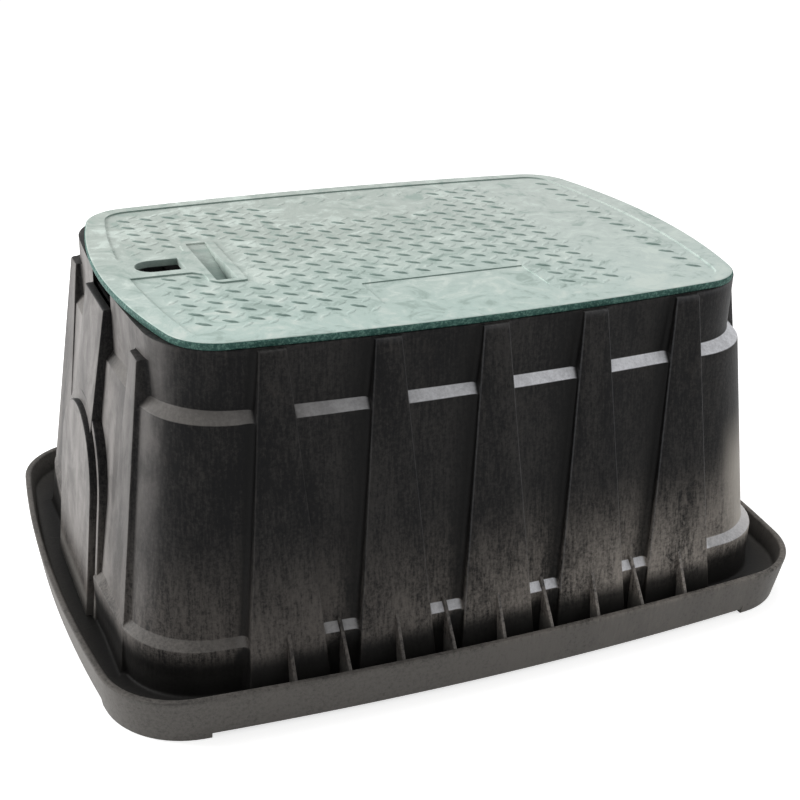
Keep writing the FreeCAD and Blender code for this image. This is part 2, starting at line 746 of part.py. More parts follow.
# Pick hole, with a round end towards the lid's edge
PICK_LOW = "(Sizes.lock_line - Sizes.pick_width / 2)"
PICK_HIGH = "(Sizes.lock_line + Sizes.pick_width / 2)"
pick_block = box(
    "pick_block",
    ("-Sizes.pick_start + Sizes.pick_width / 2", PICK_LOW, "Sizes.collar_top - Sizes.skirt_depth"),
    ("-Sizes.pick_end", PICK_HIGH, f"{LID_TOP} + {OVERCUT}"),
)
pick_round = bind(
    doc.addObject("Part::Cylinder", "pick_round"),
    Radius="Sizes.pick_width / 2",
    Height=f"Sizes.lid_thickness + Sizes.skirt_depth + {OVERCUT}",
    Placement__Base__x="-Sizes.pick_start + Sizes.pick_width / 2",
    Placement__Base__y="Sizes.lock_line",
    Placement__Base__z="Sizes.collar_top - Sizes.skirt_depth",
)
pick_hole = fuse("pick_hole", [pick_block, pick_round])

# Lock slot: a pocket whose floor ramps down from the lid's face to a flat end, in a box below the plate
SLOT_LOW = "(Sizes.lock_line - Sizes.slot_width / 2)"
SLOT_HIGH = "(Sizes.lock_line + Sizes.slot_width / 2)"
slot_side = Placement(Vector(-size("slot_start"), 0, 0), Rotation(Vector(0, 0, 1), 90) * Rotation(Vector(1, 0, 0), 90))
slot_profile = polygon("slot_profile", slot_side, (
    (SLOT_LOW, f"{LID_TOP} - Sizes.slot_depth"),
    (f"{SLOT_LOW} + Sizes.slot_floor", f"{LID_TOP} - Sizes.slot_depth"),
    (SLOT_HIGH, f"{LID_TOP} - Sizes.field_depth"),
    (SLOT_HIGH, f"{LID_TOP} + {OVERCUT}"),
    (SLOT_LOW, f"{LID_TOP} + {OVERCUT}"),
))
slot = extrude("slot", slot_profile, "Sizes.slot_start - Sizes.slot_end")
slot_box = box(
    "slot_box",
    ("-Sizes.slot_start - Sizes.slot_box_wall", f"{SLOT_LOW} - Sizes.slot_box_wall",
     f"{LID_TOP} - Sizes.slot_depth - Sizes.slot_box_wall"),
    ("-Sizes.slot_end + Sizes.slot_box_wall", f"{SLOT_HIGH} + Sizes.slot_box_wall",
     "Sizes.collar_top + Sizes.lid_thickness / 3"),
)


# Underside: a locating skirt inside the body's lip, and a row of ribs

def skirt_outline(name, depth, inset):
    """Outline of the skirt, a clearance inside the lip's inner edge."""
    gap = f"({LIP_INSET} + Sizes.skirt_clearance + {inset})"
    return wall_outline(name, f"Sizes.collar_top - ({depth})", COLLAR, gap)


skirt_block = extrude("skirt_block", skirt_outline("skirt_outer", "Sizes.skirt_depth", "0"),
                      f"Sizes.skirt_depth + {INTO_PLATE}")
skirt_core = extrude("skirt_core", skirt_outline("skirt_inner", f"Sizes.skirt_depth + {OVERCUT}", "Sizes.skirt_wall"),
                     f"Sizes.skirt_depth + {2 * OVERCUT}")
skirt = cut("skirt", skirt_block, skirt_core)


def lid_rib(name, middle):
    """One straight rib under the plate, across the lid."""
    half = "Sizes.lid_rib_wall / 2"
    reach = f"({LID_WIDTH}) / 2"
    low = (f"{middle} - {half}", f"-{reach}", "Sizes.collar_top - Sizes.lid_rib_depth")
    high = (f"{middle} + {half}", reach, f"Sizes.collar_top + {INTO_PLATE}")
    return box(name, low, high)


lid_ribs = [lid_rib(f"cross_rib_{index + 2}", f"({index}) * Sizes.lid_rib_pitch") for index in range(-1, 3)]
rib_row = common("rib_row", fuse("rib_bars", lid_ribs), skirt_block)

# Lid: plate, skirt, ribs and slot box, less the sunk field and the holes, with the bars standing on the field
ribbed_plate = fuse("ribbed_plate", [plate, skirt, rib_row, slot_box])
bare_lid = cut("bare_lid", ribbed_plate, fuse("lid_hollows", [field, panel, pick_hole, slot]))
lid = fuse("lid", [bare_lid, tread])

doc.recompute()

# Check every object, then write each sub-part
for thing in doc.Objects:
    if "Invalid" in thing.State or "Error" in thing.State:
        raise RuntimeError(f"{thing.Name} failed: {thing.State}")
for node in (box_body, lid):
    if node.Shape.isNull() or not node.Shape.isValid() or len(node.Shape.Solids) != 1:
        raise RuntimeError(f"{node.Name} is not one valid solid")

os.makedirs("parts", exist_ok=True)
for node in (box_body, lid):
    node.Label = node.Name
    node.Shape.exportStep(f"parts/{node.Name}.step")
    bounds = node.Shape.BoundBox
    print(node.Name, "volume", round(node.Shape.Volume), "faces", len(node.Shape.Faces), bounds)
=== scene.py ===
import math

import bmesh
import bpy
import numpy as np
from mathutils import Matrix, Vector
from mathutils.geometry import delaunay_2d_cdt


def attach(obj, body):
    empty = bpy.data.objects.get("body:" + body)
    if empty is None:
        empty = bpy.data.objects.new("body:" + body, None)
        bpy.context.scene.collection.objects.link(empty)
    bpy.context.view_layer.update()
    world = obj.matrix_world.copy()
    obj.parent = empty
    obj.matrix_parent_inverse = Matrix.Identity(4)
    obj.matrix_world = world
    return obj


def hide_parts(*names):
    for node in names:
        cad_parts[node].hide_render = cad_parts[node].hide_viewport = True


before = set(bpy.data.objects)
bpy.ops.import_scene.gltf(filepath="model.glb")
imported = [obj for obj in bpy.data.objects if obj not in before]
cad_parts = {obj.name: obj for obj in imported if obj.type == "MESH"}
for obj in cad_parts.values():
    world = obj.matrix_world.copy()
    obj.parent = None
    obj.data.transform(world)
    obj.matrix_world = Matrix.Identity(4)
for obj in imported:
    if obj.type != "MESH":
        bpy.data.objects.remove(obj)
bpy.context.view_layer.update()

# Shapes are worked out in millimetres and put into the meshes in metres
MM = 0.001

# Wall stages: length, width, bow of the ends, bow of the sides, corner radius
COLLAR = np.array([534.0, 382.0, 14.0, 16.0, 66.0])
BELT = np.array([547.2, 395.2, 12.0, 13.0, 66.0])
WAIST = np.array([594.0, 431.0, 17.0, 20.0, 66.0])
HEM = np.array([607.0, 444.0, 17.0, 20.0, 66.0])
WALL = 5.0
LIP_WIDTH = 13.0
LIP_THICKNESS = 6.0
COLLAR_TOP = 299.0
UPPER_LEDGE = (243.0, 251.0)
LOWER_LEDGE = (62.5, 69.0)

# Base flange
FLANGE = np.array([666.0, 499.0, 22.0, 18.5, 70.0])
FLANGE_TOP = 41.0
FLANGE_DRAFT = 6.0
FLANGE_WALL = 5.5
FLOOR_TOP = 21.0
FLOOR_UNDERSIDE = 16.0
FOOT_HEIGHT = 4.0
FOOT_SIDE_START = 247.0
FOOT_END_START = 164.0

# Tapered ribs: (height, half width, reach from the middle) at the foot and at the top
RIB_PITCH = 90.0
RIB_OUTSIDE = ((16.0, 34.5, 233.0), (298.0, 10.75, 195.2))
RIB_HOLLOW = ((6.0, 29.5, 228.0), (288.0, 5.75, 190.2))
END_RIB_OFFSET = 118.5
END_RIB = ((16.0, 37.5, 305.0), (279.0, 11.5, 272.4))
RIB_EDGE = 1.2
RIB_ROOT = 4.0


def bow_radius(chord, bow):
    """Radius of an arc that stands out by a bow b from its chord c: (c/2)^2 / 2b + b/2."""
    return ((chord / 2) ** 2 + bow**2) / (2 * bow)


SIDE_BOW_RADIUS = bow_radius(WAIST[0], WAIST[3])
RIM_BOW_RADIUS = bow_radius(FLANGE[0], FLANGE[3])
RIB_BOW_RADIUS = bow_radius(WAIST[0], 16.0)
END_BOW_RADIUS = bow_radius(WAIST[1], 14.0)

# Block, knock-out and finger notch of the ends: (height, reach)
BLOCK = ((165.0, 292.8), (286.0, 273.0))
BLOCK_HOLLOW = ((155.0, 287.8), (276.0, 268.0))
BLOCK_HALF = 36.0
NOTCH_HALF = 35.0
KNOCK_OUT_HALF = 62.0
KNOCK_OUT_SPRING = 109.0
KNOCK_OUT_REACH = 309.5
KNOCK_OUT_LEAN = math.radians(5.3)
KNOCK_OUT_RELIEF = 5.5
KNOCK_OUT_SKIN = 4.0
FRAME_MARGIN = 10.0
GROOVE_WIDTH = 3.0
GROOVE_DEPTH = 2.5

# Webs
WEB_PITCH = 45.0
WEB_HALF = 1.5
WEB_TOP = 73.0
WEB_FOOT = 37.0
WEB_SUNK = 2.0
WEB_EDGE = 0.9

# Lid
LID_TOP = 305.0
LID = np.array([538.0, 380.0, 32.0, 16.0, 45.0])
FIELD = np.array([494.0, 350.0, 21.0, 11.0, 25.0])
FIELD_DEPTH = 1.5
FIELD_LEVEL = LID_TOP - FIELD_DEPTH
EDGE_DRAFT = 0.6
SKIRT_GAP = 19.5
SKIRT_DEPTH = 15.0
SKIRT_WALL = 3.5
LOCK_LINE = 4.5
STEM_HALF = 25.0
CROSSBAR = (-187.0, -156.0)
CROSSBAR_HALF = 56.0
PAD_CORNER = 8.0
PICK = (-237.0, -197.5)
PICK_HALF = 14.5
SLOT = (-181.0, -163.5)
SLOT_SPAN = (LOCK_LINE - 50.0, LOCK_LINE + 50.0)
SLOT_DEPTH = 15.0
SLOT_FLOOR = 12.0
SLOT_BOX_WALL = 3.5
PANEL = (-70.5, 77.5, -137.5, -86.5)
PANEL_DEPTH = 1.0
LID_RIB_X = (-104.0, 0.0, 104.0, 208.0)
LID_RIB_DEPTH = 12.0
LID_RIB_HALF = 1.75
IN_PLATE = 300.0

# Tread bars; the fainter ones between them are lower and less shaded
TREAD_PITCH = (20.8, 21.2)
TREAD_CENTRE = (1.5, 2.8)
TREAD_COUNT = (22, 14)
BAR_HALF = (7.2, 2.3)
BAR_HEIGHT = 1.2
BAR_ANGLE = math.radians(40.0)
BAR_RING = 12
FAINT_HEIGHT = 0.35 * BAR_HEIGHT
FAINT_SHADE = 0.15
BLANK_MARGIN = 6.5
BARE_PATCH = (-77.5, 80.5, 88.0, 150.0)
BARE_BAND = (150.0, 210.0)

# Camera, at the photograph's viewing angle
VIEW_AZIMUTH = math.radians(-23.71)
VIEW_ELEVATION = math.radians(24.36)
VIEW_ROLL = math.radians(1.75)
VIEW_DISTANCE = 1.26894
VIEW_HEIGHT = 0.152
VIEW_RIGHT = 0.00472
VIEW_UP = -0.00110
FOCAL_PIXELS = 1351.33
IMAGE_PIXELS = 800
SENSOR = 36.0

# Light and floor
KEY_ENERGY = 34.0
FILL_ENERGY = 5.0
TOP_ENERGY = 12.0
WORLD_LIGHT = 0.42
FLOOR_COLOUR = 0.85
FLOOR_GLOW = 0.68
FLOOR_REACH = 6.0

# Meshes: merging distance, shortest edge, and the angle from which an edge stays crisp
MERGE_DISTANCE = 0.004
SHORTEST_EDGE = 0.001
SHARP_ANGLE = math.radians(32.0)

# Columns of the body's corner before and after the foot, and over it; columns of the end's middle
BESIDE_FOOT = 4
OVER_FOOT = 19
MIDDLE_SHARES = np.array([1.0, 1.0, 0.66, 0.33, 0.0])

# Tints painted on the body's points: painted highlight above 0, painted shade below
EDGE_HIGHLIGHT = 0.16
CAP_HIGHLIGHT = 0.12
LOW_CORNER_SHARE = 0.55
TROUGH_SHADE = 0.6
RIB_SHADE, FAINT_RIB_SHADE, WALL_SHADE = 0.8, 0.05, 0.2
WEB_ROOT_SHADE = 0.4


# Outlines

def inset(stage, gap):
    """A stage moved inward: length and width lose twice the gap, the corner radius loses it once."""
    return stage - gap * np.array([2.0, 2.0, 0.0, 0.0, 1.0])


def flange_stage(height, gap):
    """The flange at a height: the whole outline leans in by the draft towards the ground."""
    return inset(FLANGE, gap) - 2 * FLANGE_DRAFT * (1 - height / FLANGE_TOP) * np.array([1.0, 1.0, 0, 0, 0])


class Outline:
    """A quarter of a rectangle with bowed sides and round corners, from mid long side to mid end.

    The corner arc touches both bowed arcs: its centre lies where two circles about their centres, smaller
    than theirs by the corner radius, cross. A place on the outline is its length s along the three arcs.
    """

    def __init__(self, stages):
        length, width, end_bow, side_bow, self.corner = (f[..., None] for f in np.moveaxis(stages, -1, 0))
        self.end_radius, self.side_radius = bow_radius(width, end_bow), bow_radius(length, side_bow)
        self.end_x, self.side_y = length / 2 - self.end_radius, width / 2 - self.side_radius
        reach_end = self.end_radius - self.corner
        reach_side = self.side_radius - self.corner
        span = np.hypot(self.end_x, self.side_y)
        along_x, along_y = -self.end_x / span, self.side_y / span
        foot = (reach_end**2 - reach_side**2 + span**2) / (2 * span)
        rise = np.sqrt(reach_end**2 - foot**2)
        self.centre_x = self.end_x + along_x * foot - along_y * rise
        self.centre_y = along_y * foot + along_x * rise
        self.lean_end = np.arctan2(self.centre_y, self.centre_x - self.end_x)
        self.lean_side = np.arctan2(self.centre_y - self.side_y, self.centre_x)
        self.side_run = self.side_radius * (math.pi / 2 - self.lean_side)
        self.corner_run = self.corner * (self.lean_side - self.lean_end)
        self.total = self.side_run + self.corner_run + self.end_radius * self.lean_end

    def at(self, s):
        """x and y at the length s: each of the three arcs where s falls on it."""
        side = math.pi / 2 - s / self.side_radius
        corner = self.lean_side - (s - self.side_run) / self.corner
        end = (self.total - s) / self.end_radius
        on_side = s <= self.side_run
        on_end = s > self.side_run + self.corner_run
        x = self.centre_x + self.corner * np.cos(corner)
        y = self.centre_y + self.corner * np.sin(corner)
        x = np.where(on_side, self.side_radius * np.cos(side), x)
        y = np.where(on_side, self.side_y + self.side_radius * np.sin(side), y)
        x = np.where(on_end, self.end_x + self.end_radius * np.cos(end), x)
        y = np.where(on_end, self.end_radius * np.sin(end), y)
        return x, y

    def side_length(self, x):
        """The length s at a distance x from the middle of the long side."""
        on_side = self.side_radius * np.arcsin(x / self.side_radius)
        turned = np.arccos(np.clip((x - self.centre_x) / self.corner, -1, 1))
        return np.where(on_side <= self.side_run, on_side, self.corner_length(turned))

    def end_length(self, y):
        """The length s at a distance y from the middle of the end."""
        on_end = self.total - self.end_radius * np.arcsin(y / self.end_radius)
        turned = np.arcsin(np.clip((y - self.centre_y) / self.corner, -1, 1))
        return np.where(on_end >= self.side_run + self.corner_run, on_end, self.corner_length(turned))

    def corner_length(self, turned):
        """The length s at an angle on the corner's arc."""
        return self.side_run + self.corner * (self.lean_side - turned)


def four_quarters(right, left):
    """Values all round from a quarter's values on the right and on the left, each shared column once."""
    return np.concatenate([right, right[..., -2::-1], left[..., 1:], left[..., -2:0:-1]], -1)


def all_round(x, y):
    """The whole loop from a quarter: mirrored in x and in y."""
    return four_quarters(x, -x), np.concatenate([y, -y[..., -2::-1], -y[..., 1:], y[..., -2:0:-1]], -1)


def between(line, z):
    """Values at the heights z on the straight line between two (height, value, ...) ends, constant beyond."""
    (low, *first), (high, *last) = line
    share = np.clip((z - low) / (high - low), 0, 1)
    return [a + (b - a) * share for a, b in zip(first, last)]


def rounded(points, cuts, steps=4):
    """An open run of points with its corners rounded.

    Each corner with a cut becomes a parabola that leaves its two sides at that distance from the corner.
    """
    out = []
    last = len(points) - 1
    for index, (point, reach) in enumerate(zip(points, cuts)):
        if reach <= 0 or index in (0, last):
            out.append(point)
            continue
        ends = []
        for other in (points[index - 1], points[index + 1]):
            distance = max(np.linalg.norm((other - point)[:2]), 1e-6)
            ends.append(point + (other - point) * min(reach / distance, 0.5))
        for t in np.linspace(0, 1, steps + 1):
            out.append((1 - t) ** 2 * ends[0] + 2 * t * (1 - t) * point + t**2 * ends[1])
    return np.array(out)


# Meshes

def grid(points, around=False, keep=None):
    """Vertices and quads of a rows x columns x 3 surface, joined round in columns if asked."""
    rows, columns = points.shape[:2]
    index = np.arange(rows * columns).reshape(rows, columns)
    if around:
        index = np.concatenate([index, index[:, :1]], 1)
    quads = np.stack([index[:-1, :-1], index[1:, :-1], index[1:, 1:], index[:-1, 1:]], -1)
    if keep is not None:
        quads = quads[keep]
    return points.reshape(-1, 3), quads.reshape(-1, 4)


def flipped(part):
    """The part with its faces turned over."""
    points, faces = part
    return points, faces[:, ::-1]


def mirrored(part, axis):
    """The part on the other side of the middle, its faces still outward."""
    points, faces, *tint = part
    sign = np.ones(3)
    sign[axis] = -1
    return points * sign, faces[:, ::-1], *tint


def fill(loops, height, up=True):
    """Flat face at a height between a first loop and the holes after it, as triangles facing up or down."""
    points = [Vector(p) for loop in loops for p in loop]
    edges, start = [], 0
    for loop in loops:
        count = len(loop)
        edges += [(start + i, start + (i + 1) % count) for i in range(count)]
        start += count
    found, _, triangles, *_ = delaunay_2d_cdt(points, edges, [], 1, 1e-6)
    flat = np.array([tuple(p) for p in found])
    triangles = np.array(triangles)
    middle = flat[triangles].mean(1)
    keep = np.ones(len(triangles), bool)
    for hole in loops[1:]:
        keep &= ~within(middle, np.asarray(hole))
    triangles = triangles[keep]
    return np.column_stack([flat, np.full(len(flat), height)]), triangles if up else triangles[:, ::-1]


def within(points, loop):
    """Which points lie inside a loop: those with an odd number of its edges to their right."""
    x, y = points[:, :1], points[:, 1:]
    x0, y0 = loop[:, 0], loop[:, 1]
    x1, y1 = np.roll(x0, -1), np.roll(y0, -1)
    spans = (y0 > y) != (y1 > y)
    rise = np.where(y1 == y0, 1, y1 - y0)
    return (np.where(spans, x < x0 + (y - y0) / rise * (x1 - x0), False).sum(1) % 2).astype(bool)


def piece(name, parts, node, material):
    """One object from several parts: joined, doubles merged, edges sharper than an angle kept crisp.

    A part may bring a tint for each of its points, which the material reads; without it the tint is 0.
    The attribute facing holds each corner's shading normal along X, for the painted light on the left end and
    the painted reflection on the right end.
    """
    points, faces, tints, start = [], [], [], 0
    for part_points, part_faces, *tint in parts:
        points.append(part_points)
        tints.append(tint[0] if tint else np.zeros(len(part_points)))
        faces += (part_faces + start).tolist()
        start += len(part_points)
    mesh = bpy.data.meshes.new(name)
    mesh.from_pydata(np.concatenate(points) * MM, [], faces)
    mesh.attributes.new("tint", "FLOAT", "POINT").data.foreach_set("value", np.concatenate(tints))
    work = bmesh.new()
    work.from_mesh(mesh)
    bmesh.ops.remove_doubles(work, verts=work.verts, dist=MERGE_DISTANCE * MM)
    bmesh.ops.dissolve_degenerate(work, edges=work.edges, dist=SHORTEST_EDGE * MM)
    work.to_mesh(mesh)
    work.free()
    mesh.shade_smooth()
    mesh.set_sharp_from_angle(angle=SHARP_ANGLE)
    normals = np.empty((len(mesh.loops), 3), np.float32)
    mesh.corner_normals.foreach_get("vector", normals.ravel())
    mesh.attributes.new("facing", "FLOAT", "CORNER").data.foreach_set("value", normals[:, 0].copy())
    mesh.materials.append(material)
    made = bpy.data.objects.new(name, mesh)
    bpy.context.scene.collection.objects.link(made)
    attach(made, "root")
    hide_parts(node)
    return made


# Body moulding: one surface from the lip over the wall, floor, rim and inside, back to the lip

ROW_FLAGS = ("rib", "end_rib", "middle", "inside", "base", "foot", "lip")


def row(height, stage, cut=0.0, **flags):
    """One row of the moulding and its corner's cut: height, half length, stage and the shares of its flags.

    A corner is rounded by distances in height and half length, so these two come first.
    """
    return np.array([height, stage[0] / 2, *stage] + [flags.get(name, 0.0) for name in ROW_FLAGS]), cut


def climb(low, low_stage, high, high_stage, count, **flags):
    """Rows at even heights between two stages, without the ends."""
    shares = np.linspace(0, 1, count + 2)[1:-1]
    return [row(low + (high - low) * t, low_stage + (high_stage - low_stage) * t, **flags) for t in shares]


def moulding_rows():
    """Closed run of rows: down the outside, out to the rim and up the inside."""
    notch_floor, hollow_top, block_top = BLOCK[1][0], RIB_HOLLOW[1][0], BLOCK_HOLLOW[1][0]
    ledge_low, ledge_high = UPPER_LEDGE
    hem_top, waist_foot = LOWER_LEDGE
    rib_top, end_rib_top = RIB_OUTSIDE[1][0], END_RIB[1][0]
    lip_edge, lip_under = inset(COLLAR, WALL + LIP_WIDTH), COLLAR_TOP - LIP_THICKNESS
    collar_in, belt_in, waist_in = (inset(stage, WALL) for stage in (COLLAR, BELT, WAIST))
    outer = dict(rib=1.0, end_rib=1.0)
    inner = dict(rib=1.0, middle=1.0, inside=1.0)
    return [
        row(COLLAR_TOP, lip_edge, 1.0, lip=1.0),
        row(COLLAR_TOP, COLLAR, 1.2),
        *(row(rib_top - drop, COLLAR, rib=share)
          for drop, share in ((0, 0), (0, 0.72), (0.4, 0.9), (1.2, 1.0))),
        *(row(height, COLLAR, rib=1.0) for height in (292.0, notch_floor, end_rib_top)),
        *(row(end_rib_top - drop, COLLAR, rib=1.0, end_rib=share)
          for drop, share in ((0, 0.75), (0.5, 0.93), (1.5, 1.0))),
        *climb(end_rib_top, COLLAR, ledge_high, COLLAR, 3, **outer),
        row(ledge_high, COLLAR, 0.9, **outer),
        row(ledge_low, BELT, 1.0, **outer),
        *climb(ledge_low, BELT, waist_foot, WAIST, 20, **outer),
        row(waist_foot, WAIST, 0.9, **outer),
        row(hem_top, HEM, 1.0, **outer),
        *climb(hem_top, HEM, FLOOR_TOP, HEM, 4, **outer),
        row(FLOOR_TOP, HEM, 3.0, **outer),
        *(row(height, flange_stage(height, gap), cut, base=1.0) for height, gap, cut in (
            (FLOOR_TOP, FLANGE_WALL, 3.0), (FLANGE_TOP, FLANGE_WALL, 1.8),
            (FLANGE_TOP, 0, 1.8), (10.0, 0, 0))),
        row(0.0, flange_stage(0.0, 0), 1.5, base=1.0, foot=1.0),
        row(0.0, flange_stage(0.0, FLANGE_WALL), 1.0, base=1.0, foot=1.0),
        row(FLOOR_UNDERSIDE, flange_stage(0.0, FLANGE_WALL), base=1.0),
        row(FLOOR_UNDERSIDE, waist_in, **inner),
        *climb(FLOOR_UNDERSIDE, waist_in, waist_foot - WALL, waist_in, 3, **inner),
        row(waist_foot - WALL, waist_in, 2.0, **inner),
        *climb(waist_foot - WALL, waist_in, ledge_low - WALL, belt_in, 26, **inner),
        row(ledge_low - WALL, belt_in, 2.0, **inner),
        row(ledge_high - WALL, collar_in, 2.0, **inner),
        *climb(ledge_high - WALL, collar_in, block_top, collar_in, 2, **inner),
        row(block_top, collar_in, **inner),
        *(row(height, collar_in, rib=1.0, inside=1.0)
          for height in (block_top, notch_floor - 2.0, notch_floor, hollow_top)),
        row(hollow_top, collar_in, inside=1.0),
        row(lip_under, collar_in, 0.8, inside=1.0),
        row(lip_under, lip_edge, 0.8, inside=1.0, lip=1.0),
        row(COLLAR_TOP, lip_edge, 1.0, lip=1.0),
    ]


def rounded_rows(run):
    """The rows with their corners rounded; a row's flags go with its corner."""
    out = []
    for index, (full, cut) in enumerate(run):
        if index in (0, len(run) - 1) or cut <= 0:
            out.append(full)
            continue
        corner = [run[near][0][:7] for near in (index - 1, index, index + 1)]
        out += [np.concatenate([shape, full[7:]]) for shape in rounded(corner, (0, cut, 0))[1:-1]]
    return np.array(out)


FILLET = np.radians([0.0, 30.0, 60.0, 90.0])


def rib_columns(centre, from_middle=False):
    """Columns across a rib: (centre, share of half width, offset, shares of stand, edge and root radius).

    Root fillets turn out from the wall, edge rounds turn onto the face, and the face is flat between them.
    """
    turns = list(zip(np.sin(FILLET), np.cos(FILLET)))
    root = [(centre, 1.0, RIB_ROOT * (1 - s), 0.0, 0.0, 1 - c) for s, c in turns]
    edge = [(centre, 1.0, -RIB_EDGE * (1 - c), 1.0, s - 1, 0.0) for s, c in turns]
    right = edge[::-1] + root[::-1]
    left = [(m, -k, -d, *rest) for m, k, d, *rest in right[::-1]]
    face = [(centre, k, 0.0, 1.0, 0.0, 0.0) for k in (-0.5, 0.0, 0.5)]
    return (face[1:] if from_middle else left + face) + right


def plain_column(place):
    """One column on the bare wall."""
    return [(place, 0.0, 0.0, 0.0, 0.0, 0.0)]


def standing(columns, outline, axis, half, reach, present):
    """Lengths of columns and how far they stand out: share x (face - wall) + shares of edge and root."""
    length, bow = ((outline.end_length, END_BOW_RADIUS), (outline.side_length, RIB_BOW_RADIUS))[axis]
    centre, share, offset, stand, edge, root = columns
    s = length(centre + share * half + offset)
    proud = np.maximum(reach - centre**2 / 2 / bow - outline.at(s)[axis], 0) * present
    edges = edge * np.minimum(RIB_EDGE, proud / 3) + root * np.minimum(RIB_ROOT, proud * 0.6)
    return s, stand * proud + edges


